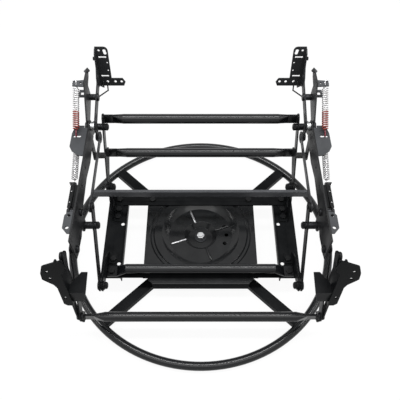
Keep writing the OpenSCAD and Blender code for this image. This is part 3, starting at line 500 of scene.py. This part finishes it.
@dataclass
class Shape:
    """A mesh under construction, in millimetres, with a finish mark on each face."""

    points: list[Vector] = field(default_factory=list)
    faces: list[tuple[int, ...]] = field(default_factory=list)
    marks: list[int] = field(default_factory=list)

    def _face(self, corners: Sequence[int], mark: int) -> None:
        """Adds one face."""
        self.faces.append(tuple(corners))
        self.marks.append(mark)

    @staticmethod
    def _ring(centre: Vector, way: Vector, side: Vector, radius: float, sides: int) -> list[Vector]:
        """Points round a centre.

        Args:
            centre: middle of the ring.
            way: direction that the ring is square to.
            side: direction of the first point.
            radius: the ring's radius.
            sides: number of points.

        Returns:
            The points, turning from the first one about the direction.
        """
        up = way.cross(side)
        turns = [math.tau * k / sides for k in range(sides)]
        return [centre + radius * (math.cos(turn) * side + math.sin(turn) * up) for turn in turns]

    def skin(self, rings: Sequence[Sequence[Vector]], mark: Mark = plain) -> None:
        """Closes a row of equal rings into a tube or bar with two caps.

        Args:
            rings: the rings, in order, each with the same number of points.
            mark: gives a face's finish from its share of the way along.
        """
        first = len(self.points)
        sides = len(rings[0])
        for ring in rings:
            self.points.extend(ring)
        last = first + (len(rings) - 1) * sides
        for row in range(len(rings) - 1):
            share = (row + 0.5) / (len(rings) - 1)
            for k in range(sides):
                a = first + row * sides + k
                b = first + row * sides + (k + 1) % sides
                self._face((a, b, b + sides, a + sides), mark(share))
        self._face([first + k for k in reversed(range(sides))], mark(0.0))
        self._face([last + k for k in range(sides)], mark(1.0))

    def sweep(self, path: Sequence[Vector], radii: Sequence[float], sides: int = 12,
              mark: Mark = plain) -> None:
        """Sweeps a round wire along a path without twist.

        Args:
            path: centre points, in order.
            radii: wire radius at each point.
            sides: sides of the wire.
            mark: gives a face's finish from its share of the way along.
        """
        end = len(path) - 1
        ways = [(path[min(i + 1, end)] - path[max(i - 1, 0)]).normalized() for i in range(len(path))]
        side = ways[0].orthogonal().normalized()
        rings = []
        for point, way, radius in zip(path, ways, radii):
            side = (side - side.dot(way) * way).normalized()
            rings.append(self._ring(point, way, side, radius, sides))
        self.skin(rings, mark)

    def lathe(self, foot: Vector, axis: Vector, profile: Sequence[Pair], sides: int = 32) -> None:
        """Turns a profile about an axis.

        Args:
            foot: the profile's zero height on the axis.
            axis: direction of the axis.
            profile: (radius, height) pairs from the foot to the top, with no zero radius.
            sides: sides of the turned form, such as 6 for a nut.
        """
        way = axis.normalized()
        side = way.orthogonal().normalized()
        self.skin([self._ring(foot + height * way, way, side, radius, sides) for radius, height in profile])

    def piece(self, name: str, materials: Sequence[bpy.types.Material],
              sharp: float = 38.0) -> bpy.types.Object:
        """Turns the shape into an object in the scene.

        Args:
            name: the piece's name.
            materials: materials in the order of the marks.
            sharp: edges above this angle, in degrees, stay sharp.

        Returns:
            The new object.
        """
        mesh = bpy.data.meshes.new(name)
        mesh.from_pydata([point * MM for point in self.points], [], self.faces)
        for material in materials:
            mesh.materials.append(material)
        mesh.polygons.foreach_set("material_index", self.marks)
        mesh.polygons.foreach_set("use_smooth", [True] * len(self.faces))
        mesh.update()
        mesh.set_sharp_from_angle(angle=math.radians(sharp))
        made = bpy.data.objects.new(name, mesh)
        bpy.context.scene.collection.objects.link(made)
        return made


class Fittings:
    """Small hardware shapes that several sub-assemblies carry."""

    head_t: float = 2.8
    dome_h: float = 1.6
    dome_sunk: float = 0.6
    dome_turns: tuple[float, ...] = (0.0, 0.25, 0.5, 0.75, 1.0, 1.2)
    dimple: tuple[Pair, ...] = ((0.55, 0.86), (0.2, 0.8))
    nut_sunk: float = 0.3
    nut_chamfer: float = 0.09
    collar_share: float = 0.46
    collar_h: float = 1.2
    bolt_r: float = 4.5
    thread_rows: int = 8
    thread_pitch: float = 0.55
    thread_depth: float = 0.5
    tip_bevel: float = 0.9
    ripple: float = 2.6
    ripple_steps: int = 6
    bead_low: float = 0.82
    bead_swell: float = 0.22
    bead_taper: tuple[float, ...] = (0.45, 0.75, 0.92)
    tab_t: float = 5.0
    tab_inset: float = 1.5
    tab_gap: float = 0.4
    tab_bead_r: float = 1.9

    @classmethod
    def dome(cls, shape: Shape, side: Side, x: float, at: Outline, radius: float, face: int = 1) -> None:
        """Forms a rivet's head on a plate: a low dome with a shallow dimple.

        Args:
            shape: the mesh that takes it.
            side: the side that the plate is on.
            x: distance of the plate's face from the middle plane.
            at: the rivet's (Y, Z).
            radius: radius of its flat head.
            face: 1 on the plate's outer face and -1 on its inner one.
        """
        profile = [(radius * 0.995, -cls.dome_sunk)]
        profile += [(radius * math.cos(turn), cls.dome_h * math.sin(turn)) for turn in cls.dome_turns]
        rim = profile[-1][0]
        profile += [(rim * across, cls.dome_h * up) for across, up in cls.dimple]
        shape.lathe(side.point(x + face * cls.head_t, at), face * side.outward(), profile)

    @classmethod
    def nut(cls, shape: Shape, side: Side, x: float, at: Outline, flats: float, height: float) -> None:
        """Adds a hexagon nut with a collar and the bolt's threaded tip inside a plate.

        Args:
            shape: the mesh that takes it.
            side: the side that the plate is on.
            x: distance of the plate's inner face from the middle plane.
            at: the bolt's (Y, Z).
            flats: width across the flats.
            height: height of the hexagon.
        """
        foot = side.point(x - cls.head_t, at)
        way = -side.outward()
        corner = flats / math.sqrt(3.0)
        chamfer = cls.nut_chamfer * flats
        shape.lathe(foot, way, [(corner - chamfer, -cls.nut_sunk), (corner, 0.4 * chamfer),
                                (corner, height - 0.5 * chamfer), (corner - chamfer, height)], sides=6)
        collar = cls.collar_share * flats
        rim = height + cls.collar_h
        shape.lathe(foot, way, [(collar, 0.5 * height), (collar, rim - 0.6), (collar - 0.8, rim),
                                (cls.bolt_r + 0.4, rim), (cls.bolt_r + 0.3, rim - 0.8)])
        crest = cls.bolt_r - 0.05
        thread = [(crest - cls.thread_depth * (row % 2), 0.5 * height + cls.thread_pitch * row)
                  for row in range(cls.thread_rows)]
        top = thread[-1][1] + cls.tip_bevel
        shape.lathe(foot, way, thread + [(cls.bolt_r - cls.tip_bevel, top), (0.3, top + 0.05)])

    @classmethod
    def bead(cls, shape: Shape, path: Sequence[Vector], radius: float) -> None:
        """Adds a weld bead with its overlapping ripples.

        Args:
            shape: the mesh that takes it.
            path: corner points of the seam.
            radius: the bead's radius.
        """
        line = []
        radii = []
        for start, end in zip(path, path[1:]):
            run = (end - start).length
            steps = max(2, round(run / cls.ripple * cls.ripple_steps))
            for i in range(steps):
                phase = (run * i / steps / cls.ripple) % 1.0
                line.append(start.lerp(end, i / steps))
                radii.append(radius * (cls.bead_low + cls.bead_swell * math.sqrt(1.0 - (1.0 - phase) ** 2)))
        line.append(path[-1])
        radii.append(radius * 0.8)
        for i, share in enumerate(cls.bead_taper):
            radii[i] *= share
            radii[-1 - i] *= share
        shape.sweep(line, radii, sides=10)

    @classmethod
    def tab_beads(cls, shape: Shape, side: Side, x: float, at: Outline, half: float) -> None:
        """Adds the two beads that hold a tube's pressed end to a plate.

        Args:
            shape: the mesh that takes them.
            side: the side that the plate is on.
            x: distance of the plate's inner face from the middle plane.
            at: the tube's (Y, Z).
            half: half the height of the pressed end.
        """
        reach = half - cls.tab_inset
        for face in (-0.5, 0.5):
            y = at[0] + face * cls.tab_t
            seam = [side.point(x - cls.tab_gap, (y, at[1] + rise)) for rise in (-reach, reach)]
            cls.bead(shape, seam, cls.tab_bead_r)


@dataclass
class CadNodes:
    """Gives the frame's own nodes their finish and their broken edges."""

    shop: PaintShop
    joined: float = 1e-5
    segments: int = 2

    def dress(self, names: Sequence[str], finish: Finish, edge: float = 0.0, bend: float = 40.0) -> None:
        """Dresses nodes in one finish.

        Args:
            names: the nodes.
            finish: their finish.
            edge: width of the broken edges in millimetres, or 0 for none.
            bend: edges above this angle, in degrees, are broken.
        """
        material = self.shop.material(finish)
        for name in names:
            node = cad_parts[name]
            node.data.materials.clear()
            node.data.materials.append(material)
            if edge > 0.0:
                self._break_edges(node, edge, bend)
            log.info("dressed %s in %s", name, finish.name)

    def _break_edges(self, node: bpy.types.Object, width: float, bend: float) -> None:
        """Rounds a node's sharp edges with modifiers, its mesh untouched.

        Args:
            node: the node's object.
            width: width of the rounding in millimetres.
            bend: least angle of a rounded edge, in degrees.
        """
        weld = node.modifiers.new("joined_corners", "WELD")
        weld.merge_threshold = self.joined
        bevel = node.modifiers.new("broken_edges", "BEVEL")
        bevel.width = width * MM
        bevel.segments = self.segments
        bevel.limit_method = "ANGLE"
        bevel.angle_limit = math.radians(bend)
        bevel.use_clamp_overlap = True
        smooth = node.modifiers.new("even_shading", "WEIGHTED_NORMAL")
        smooth.keep_sharp = True


@dataclass
class Assembly:
    """Common ground of the sub-assemblies: the shop, the node dresser and the way a piece is placed."""

    shop: PaintShop
    nodes: CadNodes

    def place(self, shape: Shape, name: str, body: str, finish: Finish) -> None:
        """Makes a piece of a shape and puts it on a body.

        Args:
            shape: the finished shape.
            name: the piece's name.
            body: the CAD body that it rides on.
            finish: the piece's finish.
        """
        piece = shape.piece(name, [self.shop.material(finish)])
        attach(piece, body)
        log.info("placed %s on %s", name, body)


@dataclass
class SideAssembly(Assembly):
    """A sub-assembly that is there once on each side."""

    side: Side

    def dress(self, stem: str, finish: Finish, edge: float = 0.0) -> None:
        """Dresses this side's node of a pair."""
        self.nodes.dress([self.side.node(stem)], finish, edge)


@dataclass
class FloorBase(Assembly):
    """Floor ring, arms and the thrust bearing."""

    ring_r: float = 320.0
    tube_r: float = 10.0
    arm_w: float = 25.0
    arm_top: float = 17.0
    arm_turns: tuple[float, ...] = (45.0, 135.0, 225.0, 315.0)
    bead_r: float = 2.2
    bead_rise: float = 0.2
    bead_steps: int = 8

    def build(self) -> None:
        """Dresses the base and adds the welds of the four arms."""
        self.nodes.dress(["floor_ring"], TUBE_COAT)
        self.nodes.dress(["base_arms"], BLACK_COAT, edge=0.8)
        self.nodes.dress(["lower_race"], DISH_COAT)
        self.nodes.dress(["bearing_balls", "ball_cage", "pivot_bolt"], ZINC)
        self.nodes.dress(["pivot_washer"], BLACK_ZINC)
        self.nodes.dress(["pivot_nut"], ZINC, edge=0.6)
        welds = Shape()
        for turn in self.arm_turns:
            self._arm_weld(welds, math.radians(turn))
        self.place(welds, "arm_welds", "base", WELD_COAT)

    def _arm_weld(self, welds: Shape, angle: float) -> None:
        """Adds the bead where one arm meets the ring.

        Args:
            welds: the mesh that takes it.
            angle: direction of the arm.
        """
        drop = self.arm_top - self.tube_r
        reach = self.ring_r - math.sqrt(self.tube_r ** 2 - drop ** 2)
        half = math.asin(0.5 * self.arm_w / reach)
        level = self.arm_top + self.bead_rise
        path = []
        for i in range(self.bead_steps + 1):
            turn = angle + half * (2.0 * i / self.bead_steps - 1.0)
            path.append(Vector((reach * math.cos(turn), reach * math.sin(turn), level)))
        Fittings.bead(welds, path, self.bead_r)


@dataclass
class SwivelFrame(Assembly):
    """Dish plate, rails, strips, uprights, lugs and the two frame bars."""

    upright_x: float = 216.0
    plate_t: float = 3.0
    bar_at: Outline = (61.0, 128.5)
    bar_w: float = 8.0
    bar_h: float = 19.0
    bar_bead_r: float = 1.8
    bar_bead_gap: float = 0.3
    pivots: tuple[Outline, ...] = ((85.0, 122.0), (-160.0, 82.0))
    nut_flats: float = 15.0
    nut_h: float = 5.5
    dish_floor: float = 38.7
    rib_r: float = 2.7
    rib_run: Pair = (37.0, 77.0)
    rib_form: tuple[Pair, ...] = (
        (0.0, 0.35), (0.03, 0.8), (0.08, 1.0), (0.92, 1.0), (0.97, 0.8), (1.0, 0.35))
    # Directions of the two ribs whose bright steel paints their highlights; the other two keep the dish's
    # coat.
    glint_turns: Pair = (110.0, 200.0)
    dark_turns: Pair = (290.0, 20.0)
    lip_front: float = -140.0
    lip_half: float = 112.0
    lip_span: Pair = (24.8, 48.8)
    hem_r: float = 1.5
    hem_t: float = 0.5
    hem_bevel: float = 0.7
    hem_turns: tuple[float, ...] = (165.0, 195.0, 225.0, 255.0, 285.0, 315.0, 345.0)

    def build(self) -> None:
        """Dresses the frame and adds its welds, pivot nuts, dish ribs (two in bright steel as painted
        highlights) and a dark hem on the lip as painted shade.
        """
        both = list(Side)
        self.nodes.dress(["swivel_dish"], DISH_COAT, edge=2.0, bend=14.0)
        self.nodes.dress([side.node("side_rail") for side in both], BLACK_COAT, edge=0.6)
        self.nodes.dress(["front_strip", "rear_strip"], BLACK_COAT, edge=0.5)
        self.nodes.dress(["front_tube"], TUBE_COAT)
        # The rear bar's lighter coat paints the light on its front face.
        self.nodes.dress(["rear_bar"], LIT_BAR_COAT, edge=2.2)
        for stem in ("rear_upright", "front_lug"):
            self.nodes.dress([side.node(stem) for side in both], BLACK_COAT, edge=0.5)
        self.nodes.dress(["frame_pins"], LINK_COAT)
        self.nodes.dress(["frame_bolts"], LINK_COAT, edge=0.5)
        welds = Shape()
        nuts = Shape()
        for side in both:
            self._bar_welds(welds, side)
            for at in self.pivots:
                Fittings.nut(nuts, side, self.upright_x, at, self.nut_flats, self.nut_h)
        self.place(welds, "bar_welds", "swivel_frame", WELD_COAT)
        self.place(nuts, "frame_nuts", "swivel_frame", LINK_COAT)
        # Two ribs get bright steel as painted highlights; the other two keep the dish's own coat.
        self._dish_ribs("painted_glint_ribs", self.glint_turns, GLINT_STEEL)
        self._dish_ribs("dark_ribs", self.dark_turns, DISH_COAT)
        # The dark hem on the lip paints the shade on the lip's face.
        self._lip_shade_hem()

    def _dish_ribs(self, name: str, turns: Sequence[float], finish: Finish) -> None:
        """Lays radial ribs on the dish floor.

        Args:
            name: the piece's name.
            turns: direction of each rib, in degrees.
            finish: their finish.
        """
        ribs = Shape()
        rise = Vector((0.0, 0.0, self.dish_floor))
        radii = [self.rib_r * bulge for _, bulge in self.rib_form]
        for turn in turns:
            angle = math.radians(turn)
            way = Vector((math.cos(angle), math.sin(angle), 0.0))
            start, end = (reach * way + rise for reach in self.rib_run)
            ribs.sweep([start.lerp(end, along) for along, _ in self.rib_form], radii)
        self.place(ribs, name, "swivel_frame", finish)

    def _lip_shade_hem(self) -> None:
        """Folds a dark, low-gloss hem over the front lip, rolled at its foot: it paints the shade on the
        lip's face.
        """
        low, high = self.lip_span
        front = self.lip_front
        fold = low + 3.0 * self.hem_r
        bevel = high - self.hem_bevel
        section = [(front - 0.1, high), (front - self.hem_t, bevel), (front - self.hem_t - 0.1, fold)]
        for angle in self.hem_turns:
            turn = math.radians(angle)
            section.append((front + self.hem_r * math.cos(turn), low + self.hem_r * (1.0 + math.sin(turn))))
        section += [(front + self.hem_t, fold), (front + self.hem_t, bevel)]
        hem = Shape()
        hem.skin([[Vector((x, *at)) for at in section] for x in (-self.lip_half, self.lip_half)])
        self.place(hem, "lip_shade_hem", "swivel_frame", BLACK_COAT)

    def _bar_welds(self, welds: Shape, side: Side) -> None:
        """Adds the beads that hold the rear bar in one upright's seat.

        Args:
            welds: the mesh that takes them.
            side: the upright's side.
        """
        low = self.bar_at[1] - 0.5 * self.bar_h
        front = self.bar_at[0] - 0.5 * self.bar_w
        back = self.bar_at[0] + 0.5 * self.bar_w + 1.0
        for x in (self.upright_x - self.bar_bead_gap, self.upright_x + self.plate_t + self.bar_bead_gap):
            Fittings.bead(welds, [side.point(x, (y, low)) for y in (front, back)], self.bar_bead_r)


@dataclass
class LiftLinks(Assembly):
    """Rear lift with its two cross tubes, and the front lift links."""

    lift_x: float = 222.0
    upper_tube: Outline = (179.42, 253.12)
    lower_tube: Outline = (152.0, 170.0)
    tab_half: float = 11.0

    def build(self) -> None:
        """Dresses the links and adds the welds at the tubes' pressed ends."""
        for stem in ("rear_lift", "front_lift"):
            self.nodes.dress([side.node(stem) for side in Side], LINK_COAT, edge=0.5)
        self.nodes.dress(["upper_tube", "lower_tube"], TUBE_COAT)
        welds = Shape()
        for side in Side:
            for at in (self.upper_tube, self.lower_tube):
                Fittings.tab_beads(welds, side, self.lift_x, at, self.tab_half)
        self.place(welds, "lift_welds", "rear_lift", WELD_COAT)


@dataclass(frozen=True)
class SpringWire:
    """A tension spring between two outline points; its end hooks round a tab or dips through a slot."""

    start: Outline
    end: Outline
    x: float
    curls: int
    start_lead: float
    end_lead: float
    dips: bool = False
    coil_r: float = 6.0
    wire_r: float = 1.05
    curl_points: int = 20
    hook_r: float = 4.4
    hook_points: int = 13
    dip: tuple[Outline, ...] = (
        (7.0, 4.6), (4.6, 3.1), (3.0, 1.8), (2.0, 0.4), (1.6, -1.2), (1.5, -3.0), (1.2, -4.6), (0.2, -6.0),
        (-1.4, -6.5), (-2.9, -5.9), (-3.6, -4.6))

    def path(self, side: Side) -> list[Vector]:
        """Centre line of the wire.

        Args:
            side: the side that the spring hangs on.

        Returns:
            Points from the first hook's tip to the last one's.
        """
        origin = Vector((self.x, *self.start))
        away = Vector((self.x, *self.end)) - origin
        way = away.normalized()
        over = Vector((1.0, 0.0, 0.0))
        across = way.cross(over)
        steps = self.curls * self.curl_points
        run = away.length - self.start_lead - self.end_lead
        line = [origin + u * over + w * way for u, w in self._hook(0.0, -1.0)]
        for i in range(steps + 1):
            turn = math.tau * i / self.curl_points
            reach = self.coil_r * min(1.0, i / self.curl_points, (steps - i) / self.curl_points)
            along = self.start_lead + run * i / steps
            line.append(origin + reach * (math.cos(turn) * over + math.sin(turn) * across) + along * way)
        if self.dips:
            line += [Vector((self.x, self.end[0] + y, self.end[1] + z)) for y, z in self.dip]
        else:
            line += [origin + u * over + w * way for u, w in reversed(self._hook(away.length, 1.0))]
        return [Vector((side.value * point.x, point.y, point.z)) for point in line]

    def _hook(self, foot: float, way: float) -> list[Pair]:
        """Points of an end hook, from its tip to where the coil starts.

        Args:
            foot: place of the tab's outer face along the spring.
            way: -1 at the spring's start and 1 at its end.

        Returns:
            (outward, along) pairs.
        """
        radius = self.hook_r
        tip = [(2.0 * radius, foot - way * back) for back in (3.0, 1.0)]
        turns = [math.pi * i / (self.hook_points - 1) for i in range(self.hook_points)]
        bow = [(radius + radius * math.cos(turn), foot + way * (0.4 + radius * math.sin(turn)))
               for turn in turns]
        return tip + bow + [(0.0, foot - way * back) for back in (2.5, 5.0)]


@dataclass
class SeatSide(SideAssembly):
    """Seat plate, its pins and stop, and the two springs of one side."""

    lift_x: float = 222.0
    web_out: float = 235.0
    seat_x: float = 244.0
    lever_out: float = 252.0
    outer_out: float = 267.0
    rear_seat: Outline = (167.92, 239.12)
    front_seat: Outline = (-77.08, 199.12)
    hinge: Outline = (142.0, 267.0)
    drive: Outline = (-150.0, 224.0)
    front_link: Outline = (-74.0, 242.0)
    hinge_head_r: float = 9.0
    head_r: float = 8.0
    nut_flats: float = 14.0
    nut_h: float = 6.0
    sleeve_r: float = 9.6
    sleeve_bevel: Pair = (0.8, 0.6)
    sleeve_groove: float = 0.4
    sleeve_play: float = 0.25
    back_spring: SpringWire = SpringWire((200.0, 339.0), (100.0, 277.0), 269.0, 21, 9.0, 14.0, dips=True)
    foot_spring: SpringWire = SpringWire((86.0, 262.0), (2.0, 236.0), 269.0, 16, 9.0, 9.0)
    red_from: float = 0.57
    # Beyond red_to the wire takes the darker red, which is painted shade.
    red_to: float = 0.97
    paint_t: float = 0.35

    def build(self) -> None:
        """Dresses the seat plate and adds rivet domes, the hinge sleeve, nuts and springs."""
        side = self.side
        self.dress("seat_plate", SEAT_COAT, edge=0.5)
        self.dress("seat_pins", BLACK_ZINC)
        self.dress("stop_bumper", RUBBER)
        heads = Shape()
        Fittings.dome(heads, side, self.lever_out, self.hinge, self.hinge_head_r)
        Fittings.dome(heads, side, self.outer_out, self.front_link, self.head_r)
        for at in (self.drive, self.front_link):
            Fittings.dome(heads, side, self.seat_x, at, self.head_r, face=-1)
        self.place(heads, side.node("seat_rivets"), side.node("seat"), BLACK_ZINC)
        self._sleeve()
        nuts = Shape()
        for at in (self.rear_seat, self.front_seat):
            Fittings.nut(nuts, side, self.lift_x, at, self.nut_flats, self.nut_h)
        self.place(nuts, side.node("seat_nuts"), side.node("seat"), LINK_COAT)
        self._springs()

    def _sleeve(self) -> None:
        """Slips the grooved sleeve over the hinge, between the bracket's web and the seat plate."""
        side = self.side
        length = self.seat_x - self.web_out - 2.0 * self.sleeve_play
        neck, chamfer = self.sleeve_bevel
        foot_r = self.sleeve_r - neck
        groove_r = self.sleeve_r - self.sleeve_groove
        profile = [(foot_r, 0.0), (self.sleeve_r, chamfer), (self.sleeve_r, 0.4 * length),
                   (groove_r, 0.44 * length), (groove_r, 0.56 * length), (self.sleeve_r, 0.6 * length),
                   (self.sleeve_r, length - chamfer), (foot_r, length)]
        sleeve = Shape()
        sleeve.lathe(side.point(self.web_out + self.sleeve_play, self.hinge), side.outward(), profile)
        self.place(sleeve, side.node("hinge_sleeve"), side.node("seat"), ZINC)

    def _springs(self) -> None:
        """Replaces the two plain springs by round wire with hooks."""
        side = self.side
        back = self._wire(self.back_spring, side.node("back_wire"), self._red_stretch)
        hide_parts(side.node("back_spring"))
        side.node("seat")
        side.node("back")
        side.point(self.back_spring.x, self.back_spring.end) * MM
        side.point(self.back_spring.x, self.back_spring.start) * MM
        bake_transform(back)
        foot = self._wire(self.foot_spring, side.node("footrest_wire"), plain)
        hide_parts(side.node("footrest_spring"))
        side.node("seat")
        side.node("front_link")
        side.point(self.foot_spring.x, self.foot_spring.start) * MM
        side.point(self.foot_spring.x, self.foot_spring.end) * MM
        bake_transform(foot)

    def _wire(self, spring: SpringWire, name: str, mark: Mark) -> bpy.types.Object:
        """Makes one spring.

        Args:
            spring: its sizes.
            name: the piece's name.
            mark: gives a face's finish from its share of the way along.

        Returns:
            The new piece, not yet on a body.
        """
        line = spring.path(self.side)
        shape = Shape()
        shares = [i / (len(line) - 1) for i in range(len(line))]
        radii = [spring.wire_r + self.paint_t * mark(share) for share in shares]
        shape.sweep(line, radii, sides=10, mark=mark)
        # The third finish is the red paint's darker copy, painted shade at the spring's end.
        finishes = (WIRE, RED_PAINT, SHADED_RED_PAINT)
        piece = shape.piece(name, [self.shop.material(finish) for finish in finishes], sharp=60.0)
        log.info("wound %s", name)
        return piece

    def _red_stretch(self, share: float) -> int:
        """Finish of the back spring's wire along its way: bare, red, then a darker copy of the red that
        paints the shade on its end in the slot.
        """
        if share < self.red_from:
            return 0
        return 1 if share < self.red_to else 2


@dataclass
class BackSide(SideAssembly):
    """Back bracket, lever, latch wire and recline rod of one side."""

    lever_out: float = 252.0
    web_x: float = 232.0
    tie: Outline = (206.0, 293.0)
    tie_head_r: float = 8.5

    def build(self) -> None:
        """Dresses the back arm and adds the tie rivet's domes."""
        side = self.side
        # The bracket's lighter coat paints the light on its face.
        self.dress("back_bracket", LIT_BACK_COAT, edge=0.5)
        self.dress("back_lever", LEVER_COAT, edge=0.5)
        self.dress("back_pins", BLACK_ZINC)
        self.dress("latch_wire", TUBE_COAT)
        self.dress("recline_rod", ROD_COAT, edge=0.5)
        heads = Shape()
        Fittings.dome(heads, side, self.lever_out, self.tie, self.tie_head_r)
        Fittings.dome(heads, side, self.web_x, self.tie, self.tie_head_r, face=-1)
        self.place(heads, side.node("tie_rivet"), side.node("back"), BLACK_ZINC)


@dataclass
class FootrestSide(SideAssembly):
    """Folding links and footrest bracket of one side."""

    outer_out: float = 267.0
    crank: Outline = (-179.21, 124.92)
    crank_head_r: float = 9.0

    def build(self) -> None:
        """Dresses the links and adds the crank rivet's dome."""
        side = self.side
        for stem in ("lower_link", "upper_link", "front_link"):
            self.dress(stem, LINK_COAT, edge=0.5)
        self.dress("footrest_bracket", BLACK_COAT, edge=0.5)
        heads = Shape()
        Fittings.dome(heads, side, self.outer_out, self.crank, self.crank_head_r)
        self.place(heads, side.node("crank_rivet"), side.node("lower_link"), LINK_COAT)


@dataclass
class FootrestDrive(Assembly):
    """Drive links with the footrest cross tube."""

    foot_x: float = 254.0
    tube_at: Outline = (-226.12, 62.02)
    tab_half: float = 10.0
    pins: tuple[Outline, ...] = ((-203.61, 133.72), (-233.12, 84.02))
    pin_head_r: float = 8.0

    def build(self) -> None:
        """Dresses the drive links and adds the tube's welds and the rivet domes."""
        self.nodes.dress([side.node("drive_link") for side in Side], LINK_COAT, edge=0.5)
        self.nodes.dress(["footrest_tube"], TUBE_COAT)
        self.nodes.dress(["drive_pins"], BLACK_ZINC)
        welds = Shape()
        heads = Shape()
        for side in Side:
            Fittings.tab_beads(welds, side, self.foot_x, self.tube_at, self.tab_half)
            for at in self.pins:
                Fittings.dome(heads, side, self.foot_x, at, self.pin_head_r, face=-1)
        self.place(welds, "footrest_welds", "footrest_drive", WELD_COAT)
        self.place(heads, "drive_rivets", "footrest_drive", BLACK_ZINC)


@dataclass(frozen=True)
class SoftLight:
    """A rectangular studio lamp, with its place and size in metres and its power in watts."""

    name: str
    place: Spot
    size: Pair
    power: float


@dataclass
class Studio:
    """Floor, background, lamps and the camera, in metres."""

    eye: Spot = (0.0, -0.6186, 1.0195)
    target: Spot = (0.0, 0.0, 0.01)
    focal_pixels: float = 467.0
    centre_pixel: Pair = (200.6, 241.0)
    sensor: float = 36.0
    floor_half: float = 6.0
    floor_colour: Colour = (0.93, 0.93, 0.93)
    floor_white: float = 0.93
    ambient: float = 0.25
    lamp_aim: Spot = (0.0, 0.0, 0.12)
    lamps: tuple[SoftLight, ...] = (
        SoftLight("key_strip", (0.0, 0.25, 1.95), (2.4, 0.22), 38.0),
        SoftLight("front_fill", (0.0, -0.9, 2.1), (2.4, 1.0), 16.0),
        SoftLight("left_strip", (-1.7, 0.35, 1.1), (2.4, 0.12), 9.0),
        SoftLight("right_strip", (1.7, 0.35, 1.1), (2.4, 0.12), 13.0),
    )

    def build(self) -> None:
        """Sets the stage."""
        self._floor()
        self._world()
        for lamp in self.lamps:
            self._lamp(lamp)
        self._camera()
        bpy.context.scene.view_settings.view_transform = "Standard"

    @staticmethod
    def _seen(wiring: Wiring) -> bpy.types.NodeSocket:
        """1 for rays that show the background: the camera's, mirrored and passing ones."""
        path = wiring.add("ShaderNodeLightPath")
        shown = wiring.math("MAXIMUM", path.outputs["Is Camera Ray"], path.outputs["Is Glossy Ray"])
        return wiring.math("MAXIMUM", shown, path.outputs["Is Transmission Ray"])

    def _floor(self) -> None:
        """Makes the pale floor, which keeps the object's shadow."""
        half = self.floor_half
        corners = [(-half, -half, 0.0), (half, -half, 0.0), (half, half, 0.0), (-half, half, 0.0)]
        mesh = bpy.data.meshes.new("studio_floor")
        mesh.from_pydata(corners, [], [(0, 1, 2, 3)])
        floor = bpy.data.objects.new("studio_floor", mesh)
        bpy.context.scene.collection.objects.link(floor)
        material = bpy.data.materials.new("studio_floor")
        material.use_nodes = True
        wiring = Wiring(material.node_tree)
        white = wiring.math("MULTIPLY", self._seen(wiring), self.floor_white)
        matt = wiring.add("ShaderNodeBsdfDiffuse", {"Color": (*self.floor_colour, 1.0)})
        glow = wiring.add("ShaderNodeEmission", {"Color": (1.0, 1.0, 1.0, 1.0), "Strength": 1.0})
        blend = wiring.add("ShaderNodeMixShader", {"Fac": white})
        wiring.put(blend.inputs[1], matt.outputs[0])
        wiring.put(blend.inputs[2], glow.outputs[0])
        wiring.add("ShaderNodeOutputMaterial", {"Surface": blend.outputs[0]})
        mesh.materials.append(material)

    def _world(self) -> None:
        """Lights the room softly and shows white behind the floor."""
        world = bpy.data.worlds.new("studio")
        bpy.context.scene.world = world
        world.use_nodes = True
        wiring = Wiring(world.node_tree)
        levels = {"Value": self._seen(wiring), "To Min": self.ambient, "To Max": 1.0}
        strength = wiring.add("ShaderNodeMapRange", levels).outputs["Result"]
        light = wiring.add("ShaderNodeBackground", {"Color": (1.0, 1.0, 1.0, 1.0), "Strength": strength})
        wiring.add("ShaderNodeOutputWorld", {"Surface": light.outputs["Background"]})

    @staticmethod
    def _hang(data: bpy.types.ID, place: Spot, aim: Spot) -> bpy.types.Object:
        """Puts a lamp or a camera in the scene.

        Args:
            data: the lamp's or camera's own data.
            place: where it is.
            aim: what it looks at.

        Returns:
            The new object.
        """
        made = bpy.data.objects.new(data.name, data)
        made.location = place
        made.rotation_euler = (Vector(aim) - Vector(place)).to_track_quat("-Z", "Y").to_euler()
        bpy.context.scene.collection.objects.link(made)
        return made

    def _lamp(self, lamp: SoftLight) -> None:
        """Hangs one lamp, which looks at the middle of the mechanism."""
        data = bpy.data.lights.new(lamp.name, "AREA")
        data.shape = "RECTANGLE"
        data.size, data.size_y = lamp.size
        data.energy = lamp.power
        self._hang(data, lamp.place, self.lamp_aim)

    def _camera(self) -> None:
        """Places the camera at the photograph's view."""
        data = bpy.data.cameras.new("camera")
        data.sensor_width = self.sensor
        data.lens = self.focal_pixels * self.sensor / PICTURE_SIDE
        data.shift_x = (0.5 * PICTURE_SIDE - self.centre_pixel[0]) / PICTURE_SIDE
        data.shift_y = (self.centre_pixel[1] - 0.5 * PICTURE_SIDE) / PICTURE_SIDE
        bpy.context.scene.camera = self._hang(data, self.eye, self.target)


def main() -> None:
    """Builds the studio and the sub-assemblies in order."""
    logging.basicConfig(level=logging.INFO, format="%(name)s %(message)s")
    Studio().build()
    shop = PaintShop()
    nodes = CadNodes(shop)
    FloorBase(shop, nodes).build()
    SwivelFrame(shop, nodes).build()
    LiftLinks(shop, nodes).build()
    FootrestDrive(shop, nodes).build()
    for side in Side:
        SeatSide(shop, nodes, side).build()
        BackSide(shop, nodes, side).build()
        FootrestSide(shop, nodes, side).build()


if __name__ == "__main__":
    main()
